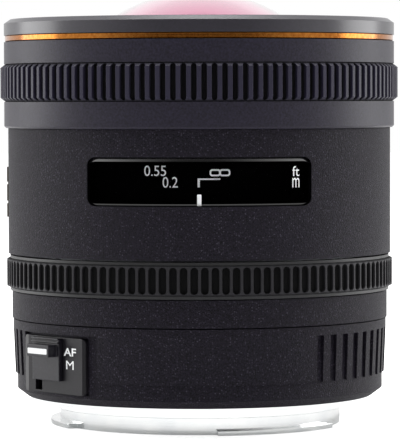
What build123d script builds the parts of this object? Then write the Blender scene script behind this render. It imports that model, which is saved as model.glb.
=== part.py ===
from build123d import *
import os
from math import asin, cos, degrees, radians, sin, sqrt

# A fisheye lens standing on its bayonet, front glass upwards.
# Z = 0 is the mount flange face, +Z is the optical axis towards the front glass, -Y is the window side.
# All lengths are millimetres, all angles degrees. A clock angle is counted from -Y towards +X.

full_turn = 360.0
cut_over = 1.0
seat_gap = 0.05
running_gap = 0.06
moving_gap = 0.3

# outer radii, each stepped from the main sleeve
window_sleeve_radius = 36.65
window_sleeve_wall = 1.45
slip_proud = 0.75
slip_radius = window_sleeve_radius + slip_proud
grip_base_rise = 0.05
grip_base_radius = slip_radius + grip_base_rise
grip_rib_depth = 0.65
grip_radius = grip_base_radius + grip_rib_depth
gold_inset = 0.2
gold_radius = slip_radius - gold_inset
focus_proud = 0.35
focus_rubber_radius = window_sleeve_radius + focus_proud
focus_rib_depth = 0.65
focus_rubber_base_radius = focus_rubber_radius - focus_rib_depth
focus_rubber_wall = 0.6
focus_core_radius = focus_rubber_base_radius - focus_rubber_wall
focus_core_wall = 1.34
focus_core_inner_radius = focus_core_radius - focus_core_wall
lower_step = 0.65
lower_sleeve_radius = window_sleeve_radius - lower_step
lower_sleeve_wall = 1.3
collar_step = 0.2
collar_panel_radius = lower_sleeve_radius - collar_step
collar_panel_depth = 0.75
collar_base_radius = collar_panel_radius - collar_panel_depth
collar_draft = 0.35
collar_panel_low_radius = collar_panel_radius - collar_draft
collar_wall = 1.6
collar_foot_width = 2.55
flange_radius = collar_base_radius - collar_foot_width

# inner radii, each stepped inwards
drum_depth = 1.7
drum_radius = window_sleeve_radius - window_sleeve_wall - drum_depth
drum_wall = 1.04
chassis_radius = drum_radius - drum_wall - running_gap
chassis_wall = 1.94
chassis_inner_radius = chassis_radius - chassis_wall
cam_ring_wall = 1.8
cam_ring_inner_radius = chassis_inner_radius - running_gap - cam_ring_wall
guide_wall = 1.64
guide_inner_radius = cam_ring_inner_radius - running_gap - guide_wall

# bayonet mount ring
bayonet_depth = 4.85
rear_end_z = -bayonet_depth
flange_top_z = 2.0
register_inset = 4.7
register_radius = flange_radius - register_inset
register_depth = 1.7
register_low_z = -register_depth
relief_width = 1.5
relief_radius = register_radius + relief_width
relief_depth = 0.4
register_step = 0.9
throat_outer_radius = register_radius - register_step
throat_wall = 1.9
throat_inner_radius = throat_outer_radius - throat_wall
lug_height = 1.8
lug_radius = throat_outer_radius + lug_height
lug_thickness = 0.89
lug_top_z = rear_end_z + lug_thickness
lug_angle = 54.0
lug_middle_angles = (33.7, 153.7, 273.7)
mount_screw_head_radius = 1.2
mount_screw_head_height = 0.9
mount_screw_shank_radius = 0.7
mount_screw_recess = 0.1
mount_screw_circle = (relief_radius + flange_radius) / 2
mount_screw_angles = (0.0, 90.0, 180.0, 270.0)
mount_screw_slot_width = 0.35
mount_screw_slot_depth = 0.4

# rear collar with its raised band, panel and bars
collar_low_z = 0.6
collar_height = 14.7
collar_top_z = collar_low_z + collar_height
collar_band_height = 1.7
collar_band_low_z = collar_top_z - collar_band_height
collar_bar_height = 8.6
collar_bar_low_z = collar_band_low_z - collar_bar_height
collar_corner_r_drop = 1.85
collar_corner_z_rise = 1.4
collar_web_height = 1.0
collar_web_width = 3.5
collar_web_inner_radius = flange_radius - collar_web_width
bar_pitch_angle = 5.27
slot_angle = 2.5
right_first_slot_angle = 38.5
left_first_slot_angle = -70.5
right_slot_count = 15
left_slot_count = 9
panel_left_edge_angle = -31.9
switch_bay_left_edge_angle = -66.6

# switch plate and its sliding knob
switch_angle = -49.0
switch_plate_width = 18.2
switch_plate_centre_x = -1.1
switch_plate_drop = 0.5
switch_plate_height = 10.5
switch_plate_top_z = collar_band_low_z - switch_plate_drop
switch_plate_low_z = switch_plate_top_z - switch_plate_height
switch_plate_inset = 0.6
switch_plate_distance = collar_panel_radius - switch_plate_inset
switch_plate_depth = 1.7
switch_plate_corner = 0.8
switch_plate_bevel = 0.45
switch_plate_end_slope = 1.8
switch_plate_end_drop = 0.7
switch_travel = 2.4
knob_centre_x = -2.2
knob_width = 7.85
knob_height = 7.9
knob_drop = 0.2
knob_top_z = switch_plate_top_z - knob_drop
knob_low_z = knob_top_z - knob_height
knob_proud = 0.85
knob_fin_drop = 1.2
knob_fin_top_z = knob_top_z - knob_fin_drop
knob_fin_height = 2.2
knob_fin_low_z = knob_fin_top_z - knob_fin_height
knob_fin_proud = 1.95
knob_fin_centre_x = -2.2
knob_fin_width = 6.4
knob_ridge_count = 2
knob_ridge_height = 0.3
knob_stem_x = -5.3
knob_stem_width = 1.4
knob_stem_height = 4.2
knob_slot_margin = 0.4
knob_slot_low_z = switch_plate_low_z + knob_slot_margin
knob_stem_low_z = knob_slot_low_z + moving_gap + switch_travel
knob_stem_top_z = knob_stem_low_z + knob_stem_height
knob_slot_top_z = knob_stem_top_z + moving_gap
knob_base_margin = 0.7
knob_base_depth = 0.6

# lower sleeve and focus ring
groove_height = 0.2
lower_sleeve_low_z = collar_top_z + groove_height
lower_sleeve_height = 5.1
lower_sleeve_top_z = lower_sleeve_low_z + lower_sleeve_height
lower_web_height = 1.4
focus_side_gap = 0.2
focus_low_z = lower_sleeve_top_z + focus_side_gap
focus_height = 6.7
focus_top_z = focus_low_z + focus_height
focus_rib_count = 120
focus_rib_share = 0.36
focus_rim_height = 0.55

# window sleeve
window_sleeve_low_z = focus_top_z + moving_gap
window_sleeve_height = 23.85
window_sleeve_top_z = window_sleeve_low_z + window_sleeve_height
shoulder_web_height = 1.65
shoulder_web_inner_radius = guide_inner_radius + moving_gap

# distance window
window_rise = 9.8
window_low_z = window_sleeve_low_z + window_rise
window_height = 9.0
window_top_z = window_low_z + window_height
window_half_width = 20.5
window_corner = 1.5
pane_recess = 0.5
pane_thickness = 0.6
mask_thickness = 0.3
mask_border = 0.55
mask_overlap = 1.0

# raised plate on the left side
badge_angle = -109.0
badge_drop = 3.0
badge_low_z = window_low_z - badge_drop
badge_height = 9.6
badge_top_z = badge_low_z + badge_height
badge_width = 24.0
badge_proud = 0.35
badge_depth = 0.6
badge_groove_shares = (0.297, 0.677)
badge_groove_width = 0.5
badge_groove_depth = 0.2

# nose, front cell and trim ring
nose_clearance = 0.9
slip_wall = 1.35
slip_inner_radius = slip_radius - slip_wall
nose_radius = slip_inner_radius - nose_clearance
nose_wall = 1.8
nose_height = 14.75
nose_top_z = window_sleeve_top_z + nose_height
nose_foot_height = 1.2
front_cell_inset = 3.0
front_cell_top_z = nose_top_z - front_cell_inset
dome_seat_depth = 2.8
dome_seat_z = front_cell_top_z - dome_seat_depth
cell_shoulder_width = 6.8
dome_rim_radius = nose_radius - nose_wall - seat_gap - cell_shoulder_width
second_seat_drop = 4.6
second_seat_z = dome_seat_z - second_seat_drop
front_cell_floor = 2.8
front_cell_low_z = second_seat_z - front_cell_floor
second_rim_step = 8.5
second_rim_radius = dome_rim_radius - second_rim_step
front_cell_lip_width = 4.6
front_cell_lip_radius = second_rim_radius - front_cell_lip_width
trim_ring_inset = 0.2
trim_ring_top_z = nose_top_z - trim_ring_inset
trim_lap = 1.8
trim_ring_inner_radius = dome_rim_radius - trim_lap
trim_groove_count = 6
trim_groove_depth = 0.25
trim_groove_width = 0.5

# slip-on front ring
slip_low_z = window_sleeve_top_z + running_gap
slip_height = 20.69
slip_top_z = slip_low_z + slip_height
slip_rim_height = 3.07
slip_rim_low_z = slip_top_z - slip_rim_height
slip_chamfer_height = 0.8
slip_chamfer_depth = 1.15
slip_lip_depth = 1.45
slip_lip_inner_radius = slip_inner_radius - slip_lip_depth
gold_height = 1.26
gold_low_z = slip_rim_low_z - gold_height
gold_depth = 0.7
slip_skirt_height = 4.99
slip_edge = 0.35
grip_low_z = slip_low_z + slip_skirt_height
grip_height = 7.2
grip_top_z = grip_low_z + grip_height
grip_seat_depth = 0.55
grip_rib_count = 126
grip_rib_share = 0.52
grip_end_height = 0.75
felt_rise = 1.29
felt_low_z = slip_low_z + felt_rise
felt_height = 5.0
felt_top_z = felt_low_z + felt_height
felt_seat_depth = 0.275

# chassis, the fixed tube inside
chassis_low_z = flange_top_z + collar_web_height
chassis_top_z = window_sleeve_top_z - shoulder_web_height
chassis_foot_height = 2.0
chassis_foot_width = 3.9
chassis_foot_inner_radius = chassis_radius - chassis_foot_width
chassis_screw_depth = 1.6
motor_ledge_rise = 4.6
motor_ledge_low_z = chassis_low_z + motor_ledge_rise
motor_ledge_height = 1.2
motor_ledge_width = 2.96
motor_ledge_inner_radius = chassis_inner_radius - motor_ledge_width
cam_ledge_drop = 4.5
cam_ledge_low_z = focus_top_z - cam_ledge_drop
cam_ledge_height = 0.7
cam_ledge_width = 1.66
cam_ledge_inner_radius = chassis_inner_radius - cam_ledge_width
focus_land_margin = 0.15

# scale drum, cam ring and the key that joins them
drum_rise = 1.2
drum_low_z = window_sleeve_low_z + drum_rise
drum_top_drop = 0.7
drum_top_z = chassis_top_z - drum_top_drop
guide_flange_height = 1.8
cam_ring_low_z = cam_ledge_low_z + cam_ledge_height + moving_gap
cam_ring_top_z = chassis_top_z - guide_flange_height - moving_gap
key_radius = 1.5
key_rise = 2.5
key_z = drum_low_z + key_rise
key_rest_angle = 150.0
key_head_inset = 0.2
key_root_depth = 1.0
drum_turn_angle = 60.0

# guide tube, focus cell and cam followers
focus_seat_drop = 9.0
focus_seat_z = chassis_top_z - focus_seat_drop
guide_drop = 7.2
guide_low_z = focus_seat_z - guide_drop
focus_cell_drop = 6.4
focus_cell_low_z = focus_seat_z - focus_cell_drop
focus_cell_rise = 7.0
focus_cell_top_z = focus_seat_z + focus_cell_rise
focus_hub_radius = 17.2
focus_sleeve_wall = 1.4
focus_sleeve_drop = 4.6
focus_sleeve_low_z = focus_seat_z - focus_sleeve_drop
focus_sleeve_rise = 5.0
focus_sleeve_top_z = focus_seat_z + focus_sleeve_rise
focus_web_height = 2.6
focus_lower_lip_radius = 11.2
focus_lower_seat_drop = 6.0
focus_lower_seat_z = focus_seat_z - focus_lower_seat_drop
focus_ring_rise = 6.2
focus_ring_seat_z = focus_seat_z + focus_ring_rise
focus_ring_width = 1.4
follower_radius = 1.0
follower_root_depth = 1.1
follower_tip_inset = 0.3
follower_angles = (60.0, 180.0, 300.0)
focus_travel = 2.5
cam_step_count = 6

# rear cell with its rings, stepped from its flange
rear_cell_drop = 1.4
rear_cell_flange_low_z = cam_ledge_low_z - rear_cell_drop
rear_cell_flange_height = 1.35
rear_cell_flange_top_z = rear_cell_flange_low_z + rear_cell_flange_height
rear_cell_rise = 6.9
rear_cell_top_z = rear_cell_flange_low_z + rear_cell_rise
rear_cell_depth = 23.4
rear_cell_low_z = rear_cell_flange_low_z - rear_cell_depth
rear_cell_radius = 15.5
rear_cell_foot_radius = 13.2
rear_cell_ledge_drop = 6.65
rear_cell_ledge_height = 0.4
rear_cell_ledge_low_z = rear_cell_flange_low_z - rear_cell_ledge_drop
rear_cell_ledge_top_z = rear_cell_ledge_low_z + rear_cell_ledge_height
rear_cell_ledge_radius = 9.2
rear_cell_step_drop = 12.85
rear_cell_step_z = rear_cell_flange_low_z - rear_cell_step_drop
rear_cell_foot_drop = 17.0
rear_cell_foot_z = rear_cell_flange_low_z - rear_cell_foot_drop
iris_housing_radius = cam_ring_inner_radius - moving_gap
iris_stand_inset = 2.8
iris_stand_radius = iris_housing_radius - iris_stand_inset
iris_stand_wall = 1.5
retainer_width = 1.0
spacer_rises = ((-0.45, 3.15), (-14.5, -11.3), (-21.15, -20.2))
retainer_rises = ((5.05, 6.5), (-23.4, -22.45))

# glass: front curve, back curve, rim radius, then heights above its seat:
# front apex, back apex, rim low and rim high
# a positive curve bulges towards the front, a negative one is hollow from the front
dome_glass = (30.0, 19.0, dome_rim_radius, 17.2, 13.7, 0.0, 17.2)
second_glass = (28.0, 13.0, second_rim_radius, 10.5, 8.5, 0.0, 10.5)
third_glass = (-80.0, 20.0, 15.0, 4.78, 3.6, 0.0, 6.2)
fourth_glass = (22.0, -60.0, 12.5, 2.4, -3.5, -3.5, 2.4)
fifth_glass = (-60.0, 40.0, 12.5, -3.5, -4.5, -6.0, -2.18)
sixth_glass = (25.0, -25.0, 10.0, 6.6, 1.6, 1.6, 6.6)
seventh_glass = (30.0, -20.0, 10.0, 0.8, -4.0, -4.0, 0.8)
eighth_glass = (-20.0, 40.0, 10.0, -4.0, -5.2, -6.2, -1.32)
ninth_glass = (-80.0, 30.0, 10.5, -7.39, -8.4, -10.3, -6.7)
tenth_glass = (30.0, -30.0, 10.5, -8.4, -12.7, -12.7, -8.4)
eleventh_glass = (28.0, -28.0, 11.0, -13.0, -18.0, -18.0, -13.0)
twelfth_glass = (-28.0, 60.0, 11.0, -18.0, -19.2, -20.1, -15.75)
rear_glass = (40.0, -60.0, 11.0, -20.0, -23.2, -23.2, -20.0)

# iris
iris_stand_height = 5.95
iris_low_z = rear_cell_flange_top_z + iris_stand_height
iris_base_height = 0.7
iris_housing_wall = 1.0
iris_housing_height = 3.9
iris_housing_top_z = iris_low_z + iris_housing_height
blade_pivot_inset = 12.3
blade_pivot_radius = iris_housing_radius - blade_pivot_inset
blade_arm_length = 7.0
blade_peg_radius = blade_pivot_radius + blade_arm_length
blade_pivot_margin = 1.7
blade_outer_radius = blade_pivot_radius - blade_pivot_margin
blade_width = 6.6
blade_inner_radius = blade_outer_radius - blade_width
iris_open_margin = 0.5
iris_open_radius = blade_inner_radius + iris_open_margin
iris_cover_height = 0.5
iris_ring_rise = 2.1
iris_ring_low_z = iris_low_z + iris_ring_rise
iris_ring_height = 0.6
iris_ring_margin = 0.8
iris_ring_inner_radius = iris_open_radius + iris_ring_margin
blade_count = 6
blade_rise = 0.15
blade_low_z = iris_low_z + iris_base_height + blade_rise
blade_step_height = 0.17
blade_thickness = 0.1
blade_start_angle = -6.0
blade_sweep_angle = 98.0
blade_arm_width = 2.4
blade_pivot_pin_radius = 0.6
blade_pivot_pin_depth = 0.5
blade_pivot_pin_low_z = iris_low_z + iris_base_height - blade_pivot_pin_depth
blade_peg_pin_radius = 0.5
blade_peg_pin_reach = 0.5
blade_peg_pin_top_z = iris_ring_low_z + blade_peg_pin_reach
iris_ring_turn_angle = 7.2
blade_turn_angle = 24.0
iris_slot_steps = 6

# motors and board
stator_low_z = motor_ledge_low_z + motor_ledge_height
stator_height = 4.6
stator_top_z = stator_low_z + stator_height
ring_fit = 0.16
stator_radius = chassis_inner_radius - ring_fit
stator_width = 5.9
stator_inner_radius = stator_radius - stator_width
stator_tooth_count = 36
stator_tooth_depth = 1.4
stator_slot_width = 0.8
rotor_height = 2.6
iris_motor_room = stator_inner_radius - rear_cell_radius
iris_motor_radius_share = 0.36
iris_motor_radius = iris_motor_room * iris_motor_radius_share
iris_motor_circle = (stator_inner_radius + rear_cell_radius) / 2
iris_motor_angle = 120.0
iris_motor_height = 9.6
iris_motor_low_z = rear_cell_flange_low_z - iris_motor_height
iris_motor_shaft_radius = 0.6
iris_motor_shaft_rise = 2.4
board_low_z = chassis_low_z + chassis_foot_height
board_radius = chassis_inner_radius - ring_fit
board_clearance = 1.5
board_inner_radius = rear_cell_radius + board_clearance
board_thickness = 0.8
board_half_angle = 128.0
chip_height = 1.2
chip_width = 5.0
chip_depth = 5.6
chip_circle = (board_inner_radius + board_radius) / 2
chip_angles = (-100.0, -62.0, -25.0, 15.0, 52.0, 92.0)

# rear baffle, gel filter holder and contact block
baffle_rise = 2.15
baffle_low_z = rear_end_z + baffle_rise
baffle_height = 0.8
baffle_opening_width_share = 0.92
baffle_opening_width = throat_inner_radius * baffle_opening_width_share
baffle_opening_height_share = 0.76
baffle_opening_height = throat_inner_radius * baffle_opening_height_share
gel_holder_width_share = 1.2
gel_holder_width = throat_inner_radius * gel_holder_width_share
gel_holder_height_share = 1.24
gel_holder_height = throat_inner_radius * gel_holder_height_share
gel_holder_rise = 0.55
gel_holder_low_z = rear_end_z + gel_holder_rise
gel_slot_height = 0.5
gel_slot_margin = 2.0
contact_block_depth = 4.15
contact_block_radius = throat_inner_radius - seat_gap
contact_block_inner_radius = contact_block_radius - contact_block_depth
contact_block_rise = 0.25
contact_block_low_z = rear_end_z + contact_block_rise
contact_block_half_angle = 34.0
contact_pin_count = 8
contact_pin_step_angle = 7.4
contact_pin_radius = 0.9
contact_pin_circle = (contact_block_inner_radius + contact_block_radius) / 2
contact_pin_proud = 0.15


def at_clock(angle):
    """Turn a piece that was built facing -Y to a clock angle."""
    return Rot(0, 0, angle)


def tube(outer_radius, inner_radius, low_z, high_z):
    """A plain ring about the optical axis."""
    height = high_z - low_z
    stand = (Align.CENTER, Align.CENTER, Align.MIN)
    outside = Cylinder(outer_radius, height, align=stand)
    inside = Cylinder(inner_radius, height, align=stand)
    return Pos(0, 0, low_z) * (outside - inside)


def disc(radius, low_z, high_z):
    """A plain disc about the optical axis."""
    stand = (Align.CENTER, Align.CENTER, Align.MIN)
    return Pos(0, 0, low_z) * Cylinder(radius, high_z - low_z, align=stand)


def turned(points):
    """A turned part from its half section, as (radius, z) points."""
    section = make_face(Plane.XZ * Polyline(*points, close=True))
    return revolve(section, Axis.Z)


def turned_sector(points, low_angle, high_angle):
    """A sector of a turned part, from one clock angle to another."""
    section = make_face(Plane.XZ * Polyline(*points, close=True))
    solid = revolve(section, Axis.Z, high_angle - low_angle)
    quarter = full_turn / 4
    return Rot(0, 0, low_angle - quarter) * solid


def front_block(width, low_z, high_z, near, far):
    """A block on the -Y side, from one distance off the axis to another."""
    block = Box(width, far - near, high_z - low_z)
    return Pos(0, -(near + far) / 2, (low_z + high_z) / 2) * block


def front_pin(radius, near, far, z):
    """A radial pin on the -Y side."""
    quarter = full_turn / 4
    return Pos(0, -(near + far) / 2, z) * Rot(quarter, 0, 0) * Cylinder(radius, far - near)


def ribbed_outline(tip_radius, base_radius, count, rib_share):
    """The cross section of a ring with straight ribs all round."""
    pitch = full_turn / count
    half_rib = pitch * rib_share / 2
    corners = []
    for index in range(count):
        middle = index * pitch
        for radius, angle in (
            (base_radius, middle - half_rib),
            (tip_radius, middle - half_rib),
            (tip_radius, middle + half_rib),
            (base_radius, middle + half_rib),
        ):
            corners.append((radius * sin(radians(angle)), -radius * cos(radians(angle))))
    return make_face(Polyline(*corners, close=True))


def ribbed_ring(tip_radius, base_radius, inner_radius, low_z, high_z, count, rib_share, end_height):
    """A grip ring: straight ribs that run out into a plain band at each end."""
    outline = ribbed_outline(tip_radius, base_radius, count, rib_share)
    ribs = Pos(0, 0, low_z) * extrude(outline, high_z - low_z)
    envelope = turned([
        (inner_radius, low_z),
        (base_radius, low_z),
        (tip_radius, low_z + end_height),
        (tip_radius, high_z - end_height),
        (base_radius, high_z),
        (inner_radius, high_z),
    ])
    return ribs & envelope


def make_mount_flange():
    """The chromed bayonet ring: contact flange, register, throat tube and three lugs."""
    ring = turned([
        (throat_inner_radius, rear_end_z),
        (throat_outer_radius, rear_end_z),
        (throat_outer_radius, register_low_z),
        (register_radius, register_low_z),
        (register_radius, relief_depth),
        (relief_radius, relief_depth),
        (relief_radius, 0),
        (flange_radius, 0),
        (flange_radius, flange_top_z),
        (throat_inner_radius, flange_top_z),
    ])
    lug_section = [
        (throat_outer_radius - seat_gap, rear_end_z),
        (lug_radius, rear_end_z),
        (lug_radius, lug_top_z),
        (throat_outer_radius - seat_gap, lug_top_z),
    ]
    for angle in lug_middle_angles:
        ring += turned_sector(lug_section, angle - lug_angle / 2, angle + lug_angle / 2)
    for angle in mount_screw_angles:
        ring -= at_clock(angle) * Pos(0, -mount_screw_circle, 0) * screw_hole()
    return ring


def screw_hole():
    """Counterbore and clearance hole of one mount screw, opening at the flange face."""
    head = disc(mount_screw_head_radius + seat_gap, -cut_over, mount_screw_recess + mount_screw_head_height)
    shank = disc(mount_screw_shank_radius + seat_gap, 0, flange_top_z + cut_over)
    return head + shank


def make_mount_screws(screw_end_z):
    """The screws that hold the bayonet ring, through the collar's web, on the chassis."""
    head = disc(mount_screw_head_radius, mount_screw_recess, mount_screw_recess + mount_screw_head_height)
    shank = disc(mount_screw_shank_radius, mount_screw_recess, screw_end_z)
    slot_top = mount_screw_recess + mount_screw_slot_depth
    slot_box = Box(2 * mount_screw_head_radius + cut_over, mount_screw_slot_width, slot_top + cut_over)
    slot = Pos(0, 0, (slot_top - cut_over) / 2) * slot_box
    screw = head + shank - slot
    return [at_clock(angle) * Pos(0, -mount_screw_circle, 0) * screw for angle in mount_screw_angles]


def panel_radius_at(z):
    """The raised surface leans in a little towards the mount."""
    share = (z - collar_bar_low_z) / (collar_band_low_z - collar_bar_low_z)
    return collar_panel_low_radius + share * (collar_panel_radius - collar_panel_low_radius)


def make_rear_collar():
    """The rear shell: recessed wall, raised top band, raised panels and a row of bars each side."""
    inner_radius = collar_base_radius - collar_wall
    web_low_z = flange_top_z
    web_top_z = flange_top_z + collar_web_height
    shell = turned([
        (flange_radius + seat_gap, collar_low_z),
        (collar_base_radius - collar_corner_r_drop, collar_low_z),
        (collar_base_radius, collar_low_z + collar_corner_z_rise),
        (collar_base_radius, collar_band_low_z),
        (collar_panel_radius, collar_band_low_z),
        (collar_panel_radius, collar_top_z),
        (inner_radius, collar_top_z),
        (inner_radius, web_top_z),
        (collar_web_inner_radius, web_top_z),
        (collar_web_inner_radius, web_low_z),
        (flange_radius + seat_gap, web_low_z),
    ])
    raised_section = [
        (inner_radius + seat_gap, collar_bar_low_z),
        (collar_panel_low_radius, collar_bar_low_z),
        (collar_panel_radius, collar_band_low_z),
        (collar_panel_radius, collar_band_low_z + seat_gap),
        (inner_radius + seat_gap, collar_band_low_z + seat_gap),
    ]
    half_slot = slot_angle / 2
    edges = [(panel_left_edge_angle, right_first_slot_angle - half_slot)]
    for index in range(right_slot_count - 1):
        middle = right_first_slot_angle + index * bar_pitch_angle
        edges.append((middle + half_slot, middle + bar_pitch_angle - half_slot))
    edges.append((left_first_slot_angle + half_slot, switch_bay_left_edge_angle))
    for index in range(left_slot_count - 1):
        middle = left_first_slot_angle - index * bar_pitch_angle
        edges.append((middle - bar_pitch_angle + half_slot, middle - half_slot))
    last_right = right_first_slot_angle + (right_slot_count - 1) * bar_pitch_angle
    last_left = left_first_slot_angle - (left_slot_count - 1) * bar_pitch_angle
    edges.append((last_right + half_slot, full_turn + last_left - half_slot))
    for low_angle, high_angle in edges:
        shell += turned_sector(raised_section, low_angle, high_angle)
    pocket_near = switch_plate_distance - switch_plate_depth - seat_gap
    pocket = front_block(
        switch_plate_width + 2 * seat_gap,
        switch_plate_low_z - seat_gap,
        switch_plate_top_z + seat_gap,
        pocket_near,
        collar_panel_radius + cut_over,
    )
    shell -= at_clock(switch_angle) * Pos(switch_plate_centre_x, 0, 0) * pocket
    screw_shaft = disc(mount_screw_shank_radius + seat_gap, 0, web_top_z + cut_over)
    for angle in mount_screw_angles:
        shell -= at_clock(angle) * Pos(0, -mount_screw_circle, 0) * screw_shaft
    return shell


def make_switch_plate():
    """The flat plate of the focus mode switch, let into the collar, with the knob's slot."""
    near = switch_plate_distance - switch_plate_depth
    face = switch_plate_distance
    left = switch_plate_centre_x - switch_plate_width / 2
    right = left + switch_plate_width
    corners = [
        (left, -near),
        (left, switch_plate_end_drop - face),
        (left + switch_plate_end_slope, -face),
        (right - switch_plate_bevel, -face),
        (right, switch_plate_bevel - face),
        (right, -near),
    ]
    plan = make_face(Polyline(*corners, close=True))
    plate = Pos(0, 0, switch_plate_low_z) * extrude(plan, switch_plate_height)
    plate = fillet(plate.edges().filter_by(Axis.Y), switch_plate_corner)
    slot_width = knob_stem_width + 2 * moving_gap
    slot = front_block(slot_width, knob_slot_low_z, knob_slot_top_z, near - cut_over, face + cut_over)
    room_width = slot_width + 2 * knob_base_margin
    room_near = near + knob_base_depth + moving_gap
    slot += front_block(room_width, knob_slot_low_z, knob_slot_top_z, near - cut_over, room_near)
    plate -= Pos(knob_stem_x, 0, 0) * slot
    return at_clock(switch_angle) * plate


def make_switch_knob():
    """The sliding knob: a cap with a tall fin and two ridges, and a stem that the plate keeps in."""
    near = switch_plate_distance - switch_plate_depth
    under = switch_plate_distance + running_gap
    face = switch_plate_distance + knob_proud
    cap = front_block(knob_width, knob_low_z, knob_top_z, under, face)
    fin_shift = knob_fin_centre_x - knob_centre_x
    fin = front_block(knob_fin_width, knob_fin_low_z, knob_fin_top_z, under, face + knob_fin_proud)
    cap += Pos(fin_shift, 0, 0) * fin
    for index in range(knob_ridge_count):
        top_z = knob_top_z - 2 * index * knob_ridge_height
        cap += front_block(knob_width, top_z - knob_ridge_height, top_z, under, face + knob_ridge_height)
    stem = front_block(knob_stem_width, knob_stem_low_z, knob_stem_top_z, near, face)
    base_width = knob_stem_width + 2 * knob_base_margin
    stem += front_block(base_width, knob_stem_low_z, knob_stem_top_z, near, near + knob_base_depth)
    knob = Pos(knob_centre_x, 0, 0) * cap + Pos(knob_stem_x, 0, 0) * stem
    return at_clock(switch_angle) * knob


def make_lower_sleeve(chassis_radius):
    """The narrow smooth sleeve under the focus ring, with a web down on the chassis."""
    inner_radius = lower_sleeve_radius - lower_sleeve_wall
    return turned([
        (chassis_radius + seat_gap, lower_sleeve_low_z),
        (lower_sleeve_radius, lower_sleeve_low_z),
        (lower_sleeve_radius, lower_sleeve_top_z),
        (inner_radius, lower_sleeve_top_z),
        (inner_radius, lower_sleeve_low_z + lower_web_height),
        (chassis_radius + seat_gap, lower_sleeve_low_z + lower_web_height),
    ])


def make_focus_ring_core():
    """The metal ring that turns on the chassis land and carries the rubber."""
    step = focus_rim_height
    return turned([
        (focus_core_inner_radius, focus_low_z),
        (focus_rubber_base_radius, focus_low_z),
        (focus_rubber_base_radius, focus_low_z + step),
        (focus_core_radius, focus_low_z + step),
        (focus_core_radius, focus_top_z - step),
        (focus_rubber_base_radius, focus_top_z - step),
        (focus_rubber_base_radius, focus_top_z),
        (focus_core_inner_radius, focus_top_z),
    ])


def make_focus_rubber():
    """The ribbed rubber band of the focus ring."""
    return ribbed_ring(
        focus_rubber_radius,
        focus_rubber_base_radius,
        focus_core_radius,
        focus_low_z + focus_rim_height,
        focus_top_z - focus_rim_height,
        focus_rib_count,
        focus_rib_share,
        focus_rim_height,
    )


def window_block(margin):
    """The rounded rectangle of the distance window as a block along Y, larger by a margin."""
    width = 2 * (window_half_width + margin)
    height = window_top_z - window_low_z + 2 * margin
    outline = Plane.XZ * RectangleRounded(width, height, window_corner + margin)
    middle_z = (window_low_z + window_top_z) / 2
    return Pos(0, 0, middle_z) * extrude(outline, window_sleeve_radius + cut_over)


def make_window_sleeve():
    """The main barrel sleeve with the distance window cut through its front."""
    inner_radius = window_sleeve_radius - window_sleeve_wall
    sleeve = turned([
        (inner_radius, window_sleeve_low_z),
        (window_sleeve_radius, window_sleeve_low_z),
        (window_sleeve_radius, window_sleeve_top_z),
        (shoulder_web_inner_radius, window_sleeve_top_z),
        (shoulder_web_inner_radius, window_sleeve_top_z - shoulder_web_height),
        (inner_radius, window_sleeve_top_z - shoulder_web_height),
    ])
    sleeve -= window_block(0)
    sleeve -= badge_block(window_sleeve_radius - badge_depth, window_sleeve_radius + cut_over, seat_gap)
    return sleeve


def make_window_pane():
    """The curved clear pane of the distance window."""
    outer_radius = window_sleeve_radius - pane_recess
    inner_radius = outer_radius - pane_thickness
    ring = tube(outer_radius, inner_radius, window_low_z - cut_over, window_top_z + cut_over)
    return ring & window_block(-seat_gap)


def make_window_mask():
    """The thin black frame behind the pane, which laps behind the sleeve's wall."""
    outer_radius = window_sleeve_radius - window_sleeve_wall
    low_z = window_low_z - mask_overlap
    high_z = window_top_z + mask_overlap
    ring = tube(outer_radius, outer_radius - mask_thickness, low_z, high_z)
    return (ring & window_block(mask_overlap)) - window_block(-mask_border)


def badge_block(near, far, margin):
    """The raised plate's outline between two radii, grown by a margin."""
    width = badge_width + 2 * margin
    block = front_block(width, badge_low_z - margin, badge_top_z + margin, 0, far + cut_over)
    ring = tube(far, near, badge_low_z - cut_over, badge_top_z + cut_over)
    return at_clock(badge_angle) * (ring & block)


def make_badge_plate():
    """The plain raised plate, curved to the barrel, with two shallow grooves."""
    outer_radius = window_sleeve_radius + badge_proud
    plate = badge_block(window_sleeve_radius - badge_depth, outer_radius, 0)
    half = badge_groove_width / 2
    for share in badge_groove_shares:
        middle_z = badge_low_z + share * badge_height
        floor_radius = outer_radius - badge_groove_depth
        plate -= tube(outer_radius + cut_over, floor_radius, middle_z - half, middle_z + half)
    return plate


def make_nose_barrel():
    """The smooth tube that the slip-on ring slides over, with a foot on the sleeve's shoulder."""
    inner_radius = nose_radius - nose_wall
    return turned([
        (shoulder_web_inner_radius, window_sleeve_top_z),
        (nose_radius, window_sleeve_top_z),
        (nose_radius, nose_top_z),
        (inner_radius, nose_top_z),
        (inner_radius, window_sleeve_top_z + nose_foot_height),
        (shoulder_web_inner_radius, window_sleeve_top_z + nose_foot_height),
    ])


def make_slip_ring_body():
    """The slip-on ring's thin sleeve, with seats for the grip, the gold ring and the felt."""
    inner_radius = slip_inner_radius
    grip_seat_radius = slip_radius - grip_seat_depth
    gold_seat_radius = gold_radius - gold_depth
    felt_seat_radius = inner_radius + felt_seat_depth
    return turned([
        (inner_radius, slip_low_z),
        (slip_radius - slip_edge, slip_low_z),
        (slip_radius, slip_low_z + slip_edge),
        (slip_radius, grip_low_z),
        (grip_seat_radius, grip_low_z),
        (grip_seat_radius, grip_top_z),
        (slip_radius, grip_top_z),
        (slip_radius, gold_low_z),
        (gold_seat_radius, gold_low_z),
        (gold_seat_radius, slip_rim_low_z),
        (inner_radius, slip_rim_low_z),
        (inner_radius, felt_top_z),
        (felt_seat_radius, felt_top_z),
        (felt_seat_radius, felt_low_z),
        (inner_radius, felt_low_z),
    ])


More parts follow.
